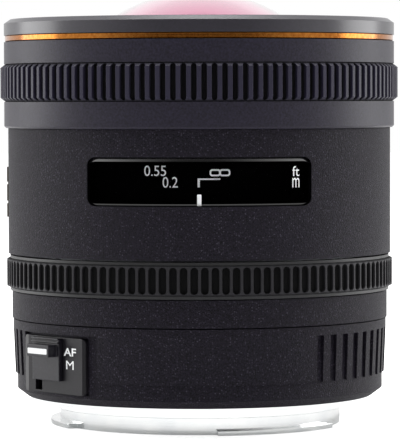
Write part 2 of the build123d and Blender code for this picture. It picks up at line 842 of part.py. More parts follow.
def make_slip_ring_grip():
    """The chunky ribbed band of the slip-on ring."""
    return ribbed_ring(
        grip_radius,
        grip_base_radius,
        slip_radius - grip_seat_depth,
        grip_low_z,
        grip_top_z,
        grip_rib_count,
        grip_rib_share,
        grip_end_height,
    )


def make_gold_ring():
    """The narrow gold ring in its groove."""
    return tube(gold_radius, gold_radius - gold_depth, gold_low_z, slip_rim_low_z)


def make_slip_rim():
    """The front rim with its chamfered lip."""
    inner_radius = slip_inner_radius
    chamfer_low_z = slip_top_z - slip_chamfer_height
    return turned([
        (inner_radius, slip_rim_low_z),
        (slip_radius, slip_rim_low_z),
        (slip_radius, chamfer_low_z),
        (slip_radius - slip_chamfer_depth, slip_top_z),
        (slip_lip_inner_radius, slip_top_z),
        (slip_lip_inner_radius, chamfer_low_z),
        (inner_radius, chamfer_low_z - slip_chamfer_height),
    ])


def make_felt_lining():
    """The felt band that lines the slip-on ring and grips the nose softly."""
    return tube(slip_inner_radius + felt_seat_depth, nose_radius + moving_gap, felt_low_z, felt_top_z)


def make_trim_ring():
    """The black ring round the dome, which screws into the nose and holds the front glass."""
    front_curve, _, rim_radius, front_rise, _, _, _ = dome_glass
    front_apex = dome_seat_z + front_rise
    outer_radius = nose_radius - nose_wall - seat_gap
    inner_z = front_apex - front_curve + sqrt(front_curve**2 - trim_ring_inner_radius**2)
    ring = turned([
        (trim_ring_inner_radius, inner_z + seat_gap),
        (trim_ring_inner_radius + trim_groove_width, inner_z + trim_groove_width),
        (outer_radius, trim_ring_top_z),
        (outer_radius, front_cell_top_z),
        (rim_radius, front_cell_top_z),
    ])
    clearance = Pos(0, 0, front_apex - front_curve) * Sphere(front_curve + seat_gap)
    ring -= clearance
    slope = (trim_ring_top_z - inner_z) / (outer_radius - trim_ring_inner_radius)
    groove_pitch = (outer_radius - trim_ring_inner_radius) / (trim_groove_count + 2)
    for index in range(trim_groove_count):
        near = trim_ring_inner_radius + (index + 1.5) * groove_pitch
        low_z = inner_z + slope * (near - trim_ring_inner_radius) - trim_groove_depth
        ring -= tube(near + trim_groove_width, near, low_z, trim_ring_top_z + cut_over)
    return ring


def make_glass(shape, seat_z):
    """One glass element: a rim cylinder bounded by its two spherical faces."""
    front_curve, back_curve, rim_radius, front_rise, back_rise, rim_low, rim_high = shape
    glass = disc(rim_radius, seat_z + rim_low, seat_z + rim_high)
    front_ball = Pos(0, 0, seat_z + front_rise - front_curve) * Sphere(abs(front_curve))
    back_ball = Pos(0, 0, seat_z + back_rise - back_curve) * Sphere(abs(back_curve))
    glass = glass & front_ball if front_curve > 0 else glass - front_ball
    return glass - back_ball if back_curve > 0 else glass & back_ball


def make_front_cell():
    """The fixed cell of the two front elements, a plug that fits in the nose."""
    outer_radius = nose_radius - nose_wall - seat_gap
    dome_rim = dome_glass[2]
    second_rim = second_glass[2]
    return turned([
        (front_cell_lip_radius, front_cell_low_z),
        (outer_radius, front_cell_low_z),
        (outer_radius, front_cell_top_z - seat_gap),
        (dome_rim + seat_gap, front_cell_top_z - seat_gap),
        (dome_rim + seat_gap, dome_seat_z),
        (second_rim + seat_gap, dome_seat_z),
        (second_rim + seat_gap, second_seat_z),
        (front_cell_lip_radius, second_seat_z),
    ])


def make_chassis():
    """The fixed tube that everything is built on, with a foot, two ledges and the focus ring's land."""
    ring = turned([
        (chassis_foot_inner_radius, chassis_low_z),
        (chassis_radius, chassis_low_z),
        (chassis_radius, focus_low_z + focus_land_margin),
        (focus_core_inner_radius - running_gap, focus_low_z + focus_land_margin),
        (focus_core_inner_radius - running_gap, focus_top_z - focus_land_margin),
        (chassis_radius, focus_top_z - focus_land_margin),
        (chassis_radius, chassis_top_z),
        (chassis_inner_radius, chassis_top_z),
        (chassis_inner_radius, cam_ledge_low_z + cam_ledge_height),
        (cam_ledge_inner_radius, cam_ledge_low_z + cam_ledge_height),
        (cam_ledge_inner_radius, cam_ledge_low_z),
        (chassis_inner_radius, cam_ledge_low_z),
        (chassis_inner_radius, motor_ledge_low_z + motor_ledge_height),
        (motor_ledge_inner_radius, motor_ledge_low_z + motor_ledge_height),
        (motor_ledge_inner_radius, motor_ledge_low_z),
        (chassis_inner_radius, motor_ledge_low_z),
        (chassis_inner_radius, chassis_low_z + chassis_foot_height),
        (chassis_foot_inner_radius, chassis_low_z + chassis_foot_height),
    ])
    key_room = key_radius + moving_gap
    slack_angle = degrees(asin(key_room / chassis_inner_radius))
    ring -= turned_sector(
        [
            (chassis_inner_radius - seat_gap, key_z - key_room),
            (chassis_radius + cut_over, key_z - key_room),
            (chassis_radius + cut_over, key_z + key_room),
            (chassis_inner_radius - seat_gap, key_z + key_room),
        ],
        key_rest_angle - slack_angle,
        key_rest_angle + drum_turn_angle + slack_angle,
    )
    hole_top = chassis_low_z + chassis_screw_depth + seat_gap
    hole = disc(mount_screw_shank_radius + seat_gap, chassis_low_z - cut_over, hole_top)
    for angle in mount_screw_angles:
        ring -= at_clock(angle) * Pos(0, -mount_screw_circle, 0) * hole
    return ring


def make_scale_drum():
    """The thin drum behind the window that carries the distance scale."""
    drum = tube(drum_radius, chassis_radius + running_gap, drum_low_z, drum_top_z)
    hole = front_pin(key_radius + seat_gap, 0, drum_radius + cut_over, key_z)
    return drum - at_clock(key_rest_angle) * hole


def make_cam_ring():
    """The ring inside the chassis with three sloping cam slots."""
    outer_radius = chassis_inner_radius - running_gap
    ring = tube(outer_radius, cam_ring_inner_radius, cam_ring_low_z, cam_ring_top_z)
    near = outer_radius - key_root_depth - seat_gap
    far = outer_radius + cut_over
    ring -= at_clock(key_rest_angle) * front_pin(key_radius + seat_gap, near, far, key_z)
    slot_half = follower_radius + moving_gap
    middle_radius = (outer_radius + cam_ring_inner_radius) / 2
    run = middle_radius * radians(drum_turn_angle)
    slope = degrees(asin(focus_travel / sqrt(run**2 + focus_travel**2)))
    step = drum_turn_angle / cam_step_count
    piece_length = middle_radius * radians(step) + slot_half
    piece_near = middle_radius - far + near
    for start in follower_angles:
        for index in range(cam_step_count):
            share = (index + 0.5) / cam_step_count
            middle_z = focus_seat_z + share * focus_travel
            block = Rot(0, slope, 0) * front_block(piece_length, -slot_half, slot_half, piece_near, far)
            ring -= at_clock(start - share * drum_turn_angle) * Pos(0, 0, middle_z) * block
        for share in (0, 1):
            end_z = focus_seat_z + share * focus_travel
            pin = front_pin(slot_half, cam_ring_inner_radius - cut_over, far, end_z)
            ring -= at_clock(start - share * drum_turn_angle) * pin
    return ring


def make_drive_key():
    """The round key that ties the drum to the cam ring through the chassis."""
    near = chassis_inner_radius - running_gap - key_root_depth
    return at_clock(key_rest_angle) * front_pin(key_radius, near, drum_radius - key_head_inset, key_z)


def make_guide_tube():
    """The fixed tube with three straight slots that keep the focus cell from turning."""
    outer_radius = cam_ring_inner_radius - running_gap
    flange_edge = chassis_inner_radius - seat_gap
    ring = turned([
        (guide_inner_radius, guide_low_z),
        (outer_radius, guide_low_z),
        (outer_radius, chassis_top_z - guide_flange_height),
        (flange_edge, chassis_top_z - guide_flange_height),
        (flange_edge, chassis_top_z),
        (guide_inner_radius, chassis_top_z),
    ])
    half_width = follower_radius + moving_gap
    slot = front_block(
        2 * half_width,
        focus_seat_z - half_width,
        focus_seat_z + focus_travel + half_width,
        guide_inner_radius - cut_over,
        outer_radius + cut_over,
    )
    for angle in follower_angles:
        ring -= at_clock(angle) * slot
    return ring


def make_focus_cell():
    """The sliding cell of the third to fifth elements: hub, web and guided sleeve."""
    outer_radius = guide_inner_radius - running_gap
    sleeve_inner = outer_radius - focus_sleeve_wall
    half_web = focus_web_height / 2
    lower_bore = fourth_glass[2] + seat_gap
    upper_bore = third_glass[2] + seat_gap
    ring = turned([
        (focus_lower_lip_radius, focus_cell_low_z),
        (focus_hub_radius, focus_cell_low_z),
        (focus_hub_radius, focus_seat_z - half_web),
        (sleeve_inner, focus_seat_z - half_web),
        (sleeve_inner, focus_sleeve_low_z),
        (outer_radius, focus_sleeve_low_z),
        (outer_radius, focus_sleeve_top_z),
        (sleeve_inner, focus_sleeve_top_z),
        (sleeve_inner, focus_seat_z + half_web),
        (focus_hub_radius, focus_seat_z + half_web),
        (focus_hub_radius, focus_cell_top_z),
        (upper_bore, focus_cell_top_z),
        (upper_bore, focus_seat_z),
        (lower_bore, focus_seat_z),
        (lower_bore, focus_lower_seat_z),
        (focus_lower_lip_radius, focus_lower_seat_z),
    ])
    near = outer_radius - follower_root_depth - seat_gap
    hole = front_pin(follower_radius + seat_gap, near, outer_radius + cut_over, focus_seat_z)
    for angle in follower_angles:
        ring -= at_clock(angle) * hole
    return ring


def make_cam_followers():
    """Three round followers that stand out of the focus cell into the cam slots."""
    near = guide_inner_radius - running_gap - follower_root_depth
    far = chassis_inner_radius - running_gap - follower_tip_inset
    pin = front_pin(follower_radius, near, far, focus_seat_z)
    return [at_clock(angle) * pin for angle in follower_angles]


def make_focus_retaining_ring():
    """The threaded ring that holds the third element down."""
    rim = third_glass[2]
    return tube(rim, rim - focus_ring_width, focus_ring_seat_z + seat_gap, focus_cell_top_z)


def make_rear_cell():
    """The fixed rear cell: a stepped tube, a flange under the chassis ledge and a stand for the iris."""
    upper_bore = sixth_glass[2] + seat_gap
    middle_bore = ninth_glass[2] + seat_gap
    lower_bore = eleventh_glass[2] + seat_gap
    flange_edge = chassis_inner_radius - seat_gap
    stand_inner = iris_stand_radius - iris_stand_wall
    return turned([
        (lower_bore, rear_cell_low_z),
        (rear_cell_foot_radius, rear_cell_low_z),
        (rear_cell_foot_radius, rear_cell_foot_z),
        (rear_cell_radius, rear_cell_foot_z),
        (rear_cell_radius, rear_cell_flange_low_z),
        (flange_edge, rear_cell_flange_low_z),
        (flange_edge, rear_cell_flange_top_z),
        (iris_stand_radius, rear_cell_flange_top_z),
        (iris_stand_radius, iris_low_z - seat_gap),
        (stand_inner, iris_low_z - seat_gap),
        (stand_inner, rear_cell_flange_top_z),
        (rear_cell_foot_radius, rear_cell_flange_top_z),
        (rear_cell_foot_radius, rear_cell_top_z),
        (upper_bore, rear_cell_top_z),
        (upper_bore, rear_cell_ledge_top_z),
        (rear_cell_ledge_radius, rear_cell_ledge_top_z),
        (rear_cell_ledge_radius, rear_cell_ledge_low_z),
        (middle_bore, rear_cell_ledge_low_z),
        (middle_bore, rear_cell_step_z),
        (lower_bore, rear_cell_step_z),
    ])


def make_rear_spacers():
    """The spacer rings between the rear groups."""
    rims = (sixth_glass[2], ninth_glass[2], eleventh_glass[2])
    return [
        tube(rim, rim - retainer_width, rear_cell_flange_low_z + low, rear_cell_flange_low_z + high)
        for rim, (low, high) in zip(rims, spacer_rises)
    ]


def make_rear_retaining_rings():
    """The two threaded rings at the ends of the rear cell."""
    rims = (sixth_glass[2], rear_glass[2])
    return [
        tube(rim, rim - retainer_width, rear_cell_flange_low_z + low, rear_cell_flange_low_z + high)
        for rim, (low, high) in zip(rims, retainer_rises)
    ]


def blade_pivot_angle(index):
    """Clock angle of a blade's pivot."""
    return index * full_turn / blade_count


def make_iris_housing():
    """The dish that carries the blades' pivots."""
    inner_radius = iris_housing_radius - iris_housing_wall
    base_top_z = iris_low_z + iris_base_height
    dish = turned([
        (iris_open_radius, iris_low_z),
        (iris_housing_radius, iris_low_z),
        (iris_housing_radius, iris_housing_top_z),
        (inner_radius, iris_housing_top_z),
        (inner_radius, base_top_z),
        (iris_open_radius, base_top_z),
    ])
    hole = disc(blade_pivot_pin_radius + running_gap, blade_pivot_pin_low_z - seat_gap, base_top_z + cut_over)
    for index in range(blade_count):
        dish -= at_clock(blade_pivot_angle(index)) * Pos(0, -blade_pivot_radius, 0) * hole
    return dish


def make_iris_cover():
    """The flat ring that closes the iris housing."""
    return tube(iris_housing_radius, iris_open_radius, iris_housing_top_z, iris_housing_top_z + iris_cover_height)


def peg_place(blade_angle, ring_angle):
    """Where a blade's peg stands in the iris ring's own frame, for the blade that starts at -Y."""
    arm = blade_peg_radius - blade_pivot_radius
    x = arm * sin(radians(blade_angle))
    y = -blade_pivot_radius - arm * cos(radians(blade_angle))
    back = radians(-ring_angle)
    return (x * cos(back) - y * sin(back), x * sin(back) + y * cos(back))


def make_iris_ring():
    """The driving ring whose slots move the blades' pegs."""
    outer_radius = iris_housing_radius - iris_housing_wall - running_gap
    top_z = iris_ring_low_z + iris_ring_height
    ring = tube(outer_radius, iris_ring_inner_radius, iris_ring_low_z, top_z)
    hole = disc(blade_peg_pin_radius + moving_gap, iris_ring_low_z - cut_over, top_z + cut_over)
    for index in range(blade_count):
        for step in range(iris_slot_steps + 1):
            share = step / iris_slot_steps
            x, y = peg_place(share * blade_turn_angle, share * iris_ring_turn_angle)
            ring -= at_clock(blade_pivot_angle(index)) * Pos(x, y, 0) * hole
    return ring


def make_iris_blade(index):
    """One sickle-shaped blade with its pivot pin below and its driving peg above."""
    low_z = blade_low_z + index * blade_step_height
    high_z = low_z + blade_thickness
    sickle = turned_sector(
        [
            (blade_inner_radius, low_z),
            (blade_outer_radius, low_z),
            (blade_outer_radius, high_z),
            (blade_inner_radius, high_z),
        ],
        blade_start_angle,
        blade_start_angle + blade_sweep_angle,
    )
    arm = front_block(blade_arm_width, low_z, high_z, blade_inner_radius + blade_arm_width, blade_peg_radius)
    blade = sickle + arm + Pos(0, -blade_peg_radius, 0) * disc(blade_arm_width / 2, low_z, high_z)
    blade += Pos(0, -blade_pivot_radius, 0) * disc(blade_pivot_pin_radius, blade_pivot_pin_low_z, high_z)
    blade += Pos(0, -blade_peg_radius, 0) * disc(blade_peg_pin_radius, low_z, blade_peg_pin_top_z)
    return at_clock(blade_pivot_angle(index)) * blade


def make_motor_stator():
    """The ring motor's stator, with a comb of teeth on its front face."""
    ring = tube(stator_radius, stator_inner_radius, stator_low_z, stator_top_z)
    slot = front_block(
        stator_slot_width,
        stator_top_z - stator_tooth_depth,
        stator_top_z + cut_over,
        stator_inner_radius - cut_over,
        stator_radius + cut_over,
    )
    slots = [at_clock(index * full_turn / stator_tooth_count) * slot for index in range(stator_tooth_count)]
    return ring - slots


def make_motor_rotor():
    """The ring motor's rotor, which lies on the comb."""
    low_z = stator_top_z + moving_gap
    return tube(stator_radius - running_gap, stator_inner_radius, low_z, low_z + rotor_height)


def make_iris_motor():
    """The small stepping motor of the iris, hung under the rear cell's flange."""
    can = disc(iris_motor_radius, iris_motor_low_z, rear_cell_flange_low_z)
    shaft_low_z = iris_motor_low_z - iris_motor_shaft_rise
    shaft = disc(iris_motor_shaft_radius, shaft_low_z, iris_motor_low_z)
    return at_clock(iris_motor_angle) * Pos(0, -iris_motor_circle, 0) * (can + shaft)


def make_main_board():
    """The curved circuit board on the chassis foot."""
    high_z = board_low_z + board_thickness
    return turned_sector(
        [
            (board_inner_radius, board_low_z),
            (board_radius, board_low_z),
            (board_radius, high_z),
            (board_inner_radius, high_z),
        ],
        -board_half_angle,
        board_half_angle,
    )


def make_board_chips():
    """The chips on the board."""
    low_z = board_low_z + board_thickness
    near = chip_circle - chip_depth / 2
    chip = front_block(chip_width, low_z, low_z + chip_height, near, near + chip_depth)
    return [at_clock(angle) * chip for angle in chip_angles]


def make_rear_baffle():
    """The black plate with a rectangular mask behind the rear glass."""
    plate = disc(throat_inner_radius - seat_gap, baffle_low_z, baffle_low_z + baffle_height)
    opening = Box(baffle_opening_width, baffle_opening_height, baffle_height + 2 * cut_over)
    return plate - Pos(0, 0, baffle_low_z + baffle_height / 2) * opening


def make_gel_filter_holder():
    """The rectangular frame that takes a gelatine filter in its slot."""
    height = baffle_low_z - gel_holder_low_z
    middle_z = (baffle_low_z + gel_holder_low_z) / 2
    frame = Box(gel_holder_width, gel_holder_height, height)
    opening = Box(baffle_opening_width, baffle_opening_height, height + 2 * cut_over)
    slot_width = gel_holder_width - 2 * gel_slot_margin
    slot = Pos(0, -gel_slot_margin, 0) * Box(slot_width, gel_holder_height, gel_slot_height)
    return Pos(0, 0, middle_z) * (frame - opening - slot)


def make_contact_block():
    """The black block of electrical contacts at the rear."""
    return turned_sector(
        [
            (contact_block_inner_radius, contact_block_low_z),
            (contact_block_radius, contact_block_low_z),
            (contact_block_radius, baffle_low_z),
            (contact_block_inner_radius, baffle_low_z),
        ],
        full_turn / 2 - contact_block_half_angle,
        full_turn / 2 + contact_block_half_angle,
    )


def make_contact_pins():
    """The round contacts, which stand a little proud of the block."""
    low_z = contact_block_low_z - contact_pin_proud
    pin = Pos(0, -contact_pin_circle, 0) * disc(contact_pin_radius, low_z, contact_block_low_z)
    first = full_turn / 2 - contact_pin_step_angle * (contact_pin_count - 1) / 2
    return [at_clock(first + index * contact_pin_step_angle) * pin for index in range(contact_pin_count)]


def as_solids(shape):
    """All the solids of a piece, or of a list of pieces."""
    if isinstance(shape, (list, tuple)):
        return [solid for item in shape for solid in item.solids()]
    return list(shape.solids())


def keep(name, shape):
    """Write one named piece."""
    solids = as_solids(shape)
    whole = solids[0] if len(solids) == 1 else Compound(children=solids)
    export_step(whole, "parts/" + name + ".step")


os.makedirs("parts", exist_ok=True)

keep("mount_flange", make_mount_flange())
keep("mount_screws", make_mount_screws(chassis_low_z + chassis_screw_depth))
keep("contact_block", make_contact_block())
keep("contact_pins", make_contact_pins())
keep("rear_baffle", make_rear_baffle())
keep("gel_filter_holder", make_gel_filter_holder())
keep("rear_collar", make_rear_collar())
keep("switch_plate", make_switch_plate())
keep("switch_knob", make_switch_knob())
keep("lower_sleeve", make_lower_sleeve(chassis_radius))
keep("focus_ring_core", make_focus_ring_core())
keep("focus_rubber", make_focus_rubber())
keep("window_sleeve", make_window_sleeve())
keep("window_pane", make_window_pane())
keep("window_mask", make_window_mask())
keep("badge_plate", make_badge_plate())
keep("nose_barrel", make_nose_barrel())
keep("front_cell", make_front_cell())
keep("trim_ring", make_trim_ring())
keep("slip_ring_body", make_slip_ring_body())
keep("slip_ring_grip", make_slip_ring_grip())
keep("gold_ring", make_gold_ring())
keep("slip_rim", make_slip_rim())
keep("felt_lining", make_felt_lining())
keep("chassis", make_chassis())
keep("scale_drum", make_scale_drum())
keep("cam_ring", make_cam_ring())
keep("drive_key", make_drive_key())
keep("guide_tube", make_guide_tube())
keep("focus_cell", make_focus_cell())
keep("cam_followers", make_cam_followers())
keep("focus_retaining_ring", make_focus_retaining_ring())
keep("rear_cell", make_rear_cell())
keep("rear_spacers", make_rear_spacers())
keep("rear_retaining_rings", make_rear_retaining_rings())
keep("iris_housing", make_iris_housing())
keep("iris_cover", make_iris_cover())
keep("iris_ring", make_iris_ring())
for blade_index in range(blade_count):
    keep("iris_blade_" + str(blade_index + 1), make_iris_blade(blade_index))
keep("motor_stator", make_motor_stator())
keep("motor_rotor", make_motor_rotor())
keep("iris_motor", make_iris_motor())
keep("main_board", make_main_board())
keep("board_chips", make_board_chips())
keep("front_element", make_glass(dome_glass, dome_seat_z))
keep("second_element", make_glass(second_glass, second_seat_z))
keep("third_element", make_glass(third_glass, focus_seat_z))
keep("fourth_group", [make_glass(fourth_glass, focus_seat_z), make_glass(fifth_glass, focus_seat_z)])
keep("sixth_element", make_glass(sixth_glass, rear_cell_flange_low_z))
keep("sixth_group", [make_glass(shape, rear_cell_flange_low_z) for shape in (seventh_glass, eighth_glass)])
keep("seventh_group", [make_glass(shape, rear_cell_flange_low_z) for shape in (ninth_glass, tenth_glass)])
keep("eighth_group", [make_glass(shape, rear_cell_flange_low_z) for shape in (eleventh_glass, twelfth_glass)])
keep("rear_element", make_glass(rear_glass, rear_cell_flange_low_z))
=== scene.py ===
"""Fisheye lens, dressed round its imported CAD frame, part by part from the mount forwards."""
import math

import bmesh
import bpy
from mathutils import Matrix, Vector


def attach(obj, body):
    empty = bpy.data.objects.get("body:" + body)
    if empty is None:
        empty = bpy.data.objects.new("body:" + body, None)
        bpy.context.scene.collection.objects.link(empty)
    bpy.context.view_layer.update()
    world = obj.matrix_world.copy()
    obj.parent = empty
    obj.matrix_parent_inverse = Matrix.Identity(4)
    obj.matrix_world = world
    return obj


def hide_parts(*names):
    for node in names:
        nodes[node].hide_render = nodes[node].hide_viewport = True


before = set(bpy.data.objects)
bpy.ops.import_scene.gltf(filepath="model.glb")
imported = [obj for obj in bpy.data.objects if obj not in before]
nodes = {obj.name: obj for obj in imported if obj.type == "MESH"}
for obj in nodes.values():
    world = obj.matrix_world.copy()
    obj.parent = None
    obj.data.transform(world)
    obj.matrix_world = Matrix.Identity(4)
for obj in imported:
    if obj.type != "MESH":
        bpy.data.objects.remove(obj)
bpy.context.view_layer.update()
MM = 0.001

# Bayonet mount
# A turned brass ring with three lugs, chrome plated and lapped on its face.
# Four slotted steel screws hold it from behind, through the collar's web, on the chassis.


def linear(hex_colour):
    """Turns an sRGB hex colour to the linear values that nodes take."""
    parts = [int(hex_colour[start:start + 2], 16) / 255 for start in (1, 3, 5)]
    return tuple(c / 12.92 if c <= 0.04045 else ((c + 0.055) / 1.055) ** 2.4 for c in parts) + (1.0,)


def add(tree, kind, inputs=None, **settings):
    """Adds one node with its settings, and sets or links its inputs."""
    node = tree.nodes.new(kind)
    for name, value in settings.items():
        setattr(node, name, value)
    for key, value in (inputs or {}).items():
        if isinstance(value, bpy.types.NodeSocket):
            tree.links.new(value, node.inputs[key])
        else:
            node.inputs[key].default_value = value
    return node


def start_material(name):
    """Opens an empty material and returns it with its tree and its object coordinates."""
    material = bpy.data.materials.new(name)
    material.use_nodes = True
    tree = material.node_tree
    tree.nodes.clear()
    place = add(tree, "ShaderNodeTexCoord").outputs["Object"]
    return material, tree, place


def end_material(tree, inputs):
    """Closes a material with its surface shader."""
    shader = add(tree, "ShaderNodeBsdfPrincipled", inputs)
    add(tree, "ShaderNodeOutputMaterial", {"Surface": shader.outputs[0]})


def blend_colours(tree, share, low, high):
    """Mixes two hex colours by a share from 0 to 1."""
    ramp = add(tree, "ShaderNodeMix", {0: share, 6: linear(low), 7: linear(high)}, data_type="RGBA")
    return ramp.outputs[2]


def grain(tree, place, lump_mm, detail=3.0):
    """A noise from 0 to 1 whose lumps are about lump_mm wide."""
    noise = add(tree, "ShaderNodeTexNoise", {"Vector": place, "Scale": 1 / (lump_mm * MM), "Detail": detail})
    spread = add(tree, "ShaderNodeMapRange", {"Value": noise.outputs[0], "From Min": 0.3, "From Max": 0.7})
    return spread.outputs[0]


def bumped(tree, height, depth_mm, strength, edge_mm=0.0):
    """Turns a height from 0 to 1 into a bump of that depth, over edges broken by edge_mm."""
    inputs = {"Height": height, "Distance": depth_mm * MM, "Strength": strength}
    if edge_mm:
        edge = add(tree, "ShaderNodeBevel", {"Radius": edge_mm * MM}, samples=6)
        inputs["Normal"] = edge.outputs[0]
    return add(tree, "ShaderNodeBump", inputs).outputs[0]


def from_axis(tree, place):
    """The distance from the lens axis, in metres."""
    flat = add(tree, "ShaderNodeVectorMath", {0: place, 1: (1.0, 1.0, 0.0)}, operation="MULTIPLY")
    return add(tree, "ShaderNodeVectorMath", {0: flat.outputs[0]}, operation="LENGTH").outputs[1]


def lathe_rings(tree, place, pitch_mm):
    """Fine rings round the axis, as a turning tool leaves them: a noise over radius and height."""
    parts = add(tree, "ShaderNodeSeparateXYZ", {0: place})
    spot = add(tree, "ShaderNodeCombineXYZ", {0: from_axis(tree, place), 2: parts.outputs[2]})
    noise = add(tree, "ShaderNodeTexNoise", {"Vector": spot.outputs[0], "Scale": 1 / (pitch_mm * MM),
                                            "Detail": 1.0})
    return noise.outputs[0]


def dress(material, *names):
    """Gives CAD nodes their material, and leaves their meshes alone."""
    for name in names:
        slots = nodes[name].data.materials
        slots.clear()
        slots.append(material)


# Chrome plate over turned brass: a bright mirror, softened by fine rings from the lathe.
chrome_plate, tree, place = start_material("chrome_plated_brass_turned")
rings = lathe_rings(tree, place, pitch_mm=0.25)
end_material(tree, {
    "Base Color": blend_colours(tree, grain(tree, place, lump_mm=6.0), "#D9DBDC", "#E6E7E6"),
    "Metallic": 1.0, "Roughness": 0.14,
    "Normal": bumped(tree, rings, depth_mm=0.01, strength=0.5, edge_mm=0.15)})
dress(chrome_plate, "mount_flange")

# Bright turned steel: a greyer, duller metal than the chrome round it.
screw_steel, tree, place = start_material("bright_steel_turned")
rings = lathe_rings(tree, place, pitch_mm=0.15)
end_material(tree, {
    "Base Color": blend_colours(tree, grain(tree, place, lump_mm=0.8), "#A9AAAC", "#C6C7C8"),
    "Metallic": 1.0, "Roughness": 0.3, "Normal": bumped(tree, rings, depth_mm=0.01, strength=0.5)})
dress(screw_steel, "mount_screws", "drive_key", "iris_motor")

# Rear contacts, baffle and gel filter holder
# A moulded block carries eight gold flashed pins at the edge of the throat. The baffle beside it is
# moulded too, and the frame for gel filters is machined and fixed over the last glass.

# Black moulded plastic: a soft sheen over a fine spark-eroded grain of 0.15 mm.
moulded_black, tree, place = start_material("abs_black_moulded")
end_material(tree, {
    "Base Color": blend_colours(tree, grain(tree, place, lump_mm=0.4), "#0E0D11", "#151319"),
    "Roughness": 0.4, "Specular IOR Level": 0.24,
    "Normal": bumped(tree, grain(tree, place, lump_mm=0.15), depth_mm=0.01, strength=0.35, edge_mm=0.12)})
dress(moulded_black, "contact_block", "rear_baffle", "iris_housing")

# Gold flash over brass: small warm glints that don't tarnish.
gold_flash, tree, place = start_material("gold_flashed_brass")
end_material(tree, {
    "Base Color": blend_colours(tree, grain(tree, place, lump_mm=0.5), "#D9A441", "#EBC374"),
    "Metallic": 1.0, "Roughness": 0.22,
    "Normal": bumped(tree, grain(tree, place, lump_mm=0.1), depth_mm=0.01, strength=0.3)})
dress(gold_flash, "contact_pins", "cam_followers")

# Machined aluminium, black anodised: a dull dark grey with faint turning rings.
black_anodised, tree, place = start_material("aluminium_black_anodised_turned")
rings = lathe_rings(tree, place, pitch_mm=0.3)
end_material(tree, {
    "Base Color": blend_colours(tree, grain(tree, place, lump_mm=0.9), "#141416", "#1D1D20"),
    "Roughness": 0.4, "Specular IOR Level": 0.4,
    "Normal": bumped(tree, rings, depth_mm=0.02, strength=0.4, edge_mm=0.1)})
dress(black_anodised, "gel_filter_holder", "focus_ring_core", "front_cell", "trim_ring", "focus_cell",
      "focus_retaining_ring", "rear_cell", "rear_spacers", "rear_retaining_rings", "iris_cover")

# Barrel: rear collar, lower sleeve and window sleeve
# Three sleeves, moulded and then turned, that stand round the chassis on their inner webs.
# They share one finish, a sprayed velvet black coat full of fine pale flecks.

# The coat looks nearly black and slightly furry, and scatters light in tiny spots.
# Its flecks are drawn 0.4 mm apart, as fine as the picture can show.
velvet_coat, tree, place = start_material("velvet_black_spray_coat")
fleck_spacing = 0.4
cells = add(tree, "ShaderNodeTexVoronoi", {"Vector": place, "Scale": 1 / (fleck_spacing * MM)})
pick = add(tree, "ShaderNodeSeparateColor", {0: cells.outputs["Color"]})
rare = add(tree, "ShaderNodeMapRange", {"Value": pick.outputs[0], "From Min": 0.5, "From Max": 1.0})
dot = add(tree, "ShaderNodeMapRange", {"Value": cells.outputs["Distance"], "From Min": 0.45, "From Max": 0.1})
fleck = add(tree, "ShaderNodeMath", {0: rare.outputs[0], 1: dot.outputs[0]}, operation="MULTIPLY")
ground = blend_colours(tree, grain(tree, place, lump_mm=0.3, detail=4.0), "#040306", "#201C27")
coat_colour = add(tree, "ShaderNodeMix", {0: fleck.outputs[0], 6: ground, 7: linear("#47434F")},
                  data_type="RGBA")
lumps = grain(tree, place, lump_mm=0.25, detail=4.0)
end_material(tree, {
    "Base Color": coat_colour.outputs[2], "Roughness": 0.5, "Specular IOR Level": 0.11,
    "Normal": bumped(tree, lumps, depth_mm=0.1, strength=0.8, edge_mm=0.12)})
dress(velvet_coat, "rear_collar", "lower_sleeve", "window_sleeve")

# Mode switch
# A flat moulded plate is let into the collar, and a ridged knob slides in its slot.
# The lettering and the knob's pointer bar are white paint, pressed on with a pad.
dress(moulded_black, "switch_plate")

# The knob is moulded in a smoother tool than the plate, so its edges catch the light.
knob_plastic, tree, place = start_material("abs_dark_satin_moulded")
end_material(tree, {
    "Base Color": blend_colours(tree, grain(tree, place, lump_mm=0.5), "#131117", "#1C1A22"),
    "Roughness": 0.33, "Specular IOR Level": 0.34,
    "Normal": bumped(tree, grain(tree, place, lump_mm=0.12), depth_mm=0.01, strength=0.3, edge_mm=0.25)})
dress(knob_plastic, "switch_knob")

# White printing enamel: matt and slightly uneven, and the brightest thing on the barrel.
marking_white, tree, place = start_material("enamel_white_printed")
end_material(tree, {
    "Base Color": blend_colours(tree, grain(tree, place, lump_mm=0.3), "#E9EBEC", "#F7F8F8"),
    "Roughness": 0.5,
    "Normal": bumped(tree, grain(tree, place, lump_mm=0.15), depth_mm=0.01, strength=0.3)})

switch_clock = math.radians(-49.0)
switch_face = 35.2
knob_proud = 0.85
fin_proud = 1.95
fin_face = switch_face + knob_proud + fin_proud
fin_middle_z = 10.5
pointer_bar = (-5.12, 0.55, -0.52, 0.52)
letters_across = 3.95
auto_letters_z = 10.5
manual_letter_z = 8.1
print_depth = 0.02
bar_clip_share = 0.12
bar_slice = 0.8


def new_lettering(text, width, height, weight=0.0):
    """Raised lettering as a flat mesh in millimetres, centred, with its thickness along z."""
    curve = bpy.data.curves.new("lettering", "FONT")
    curve.body = text
    curve.extrude = 0.01
    curve.offset = weight
    holder = bpy.data.objects.new("lettering", curve)
    bpy.context.scene.collection.objects.link(holder)
    ready = holder.evaluated_get(bpy.context.evaluated_depsgraph_get())
    mesh = bpy.data.meshes.new_from_object(ready)
    bpy.data.objects.remove(holder)
    lows = [min(point.co[axis] for point in mesh.vertices) for axis in range(3)]
    highs = [max(point.co[axis] for point in mesh.vertices) for axis in range(3)]
    sizes = (width, height, print_depth)
    for point in mesh.vertices:
        point.co = Vector([((point.co[axis] - lows[axis]) / (highs[axis] - lows[axis]) - 0.5) * sizes[axis]
                           for axis in range(3)])
    return mesh


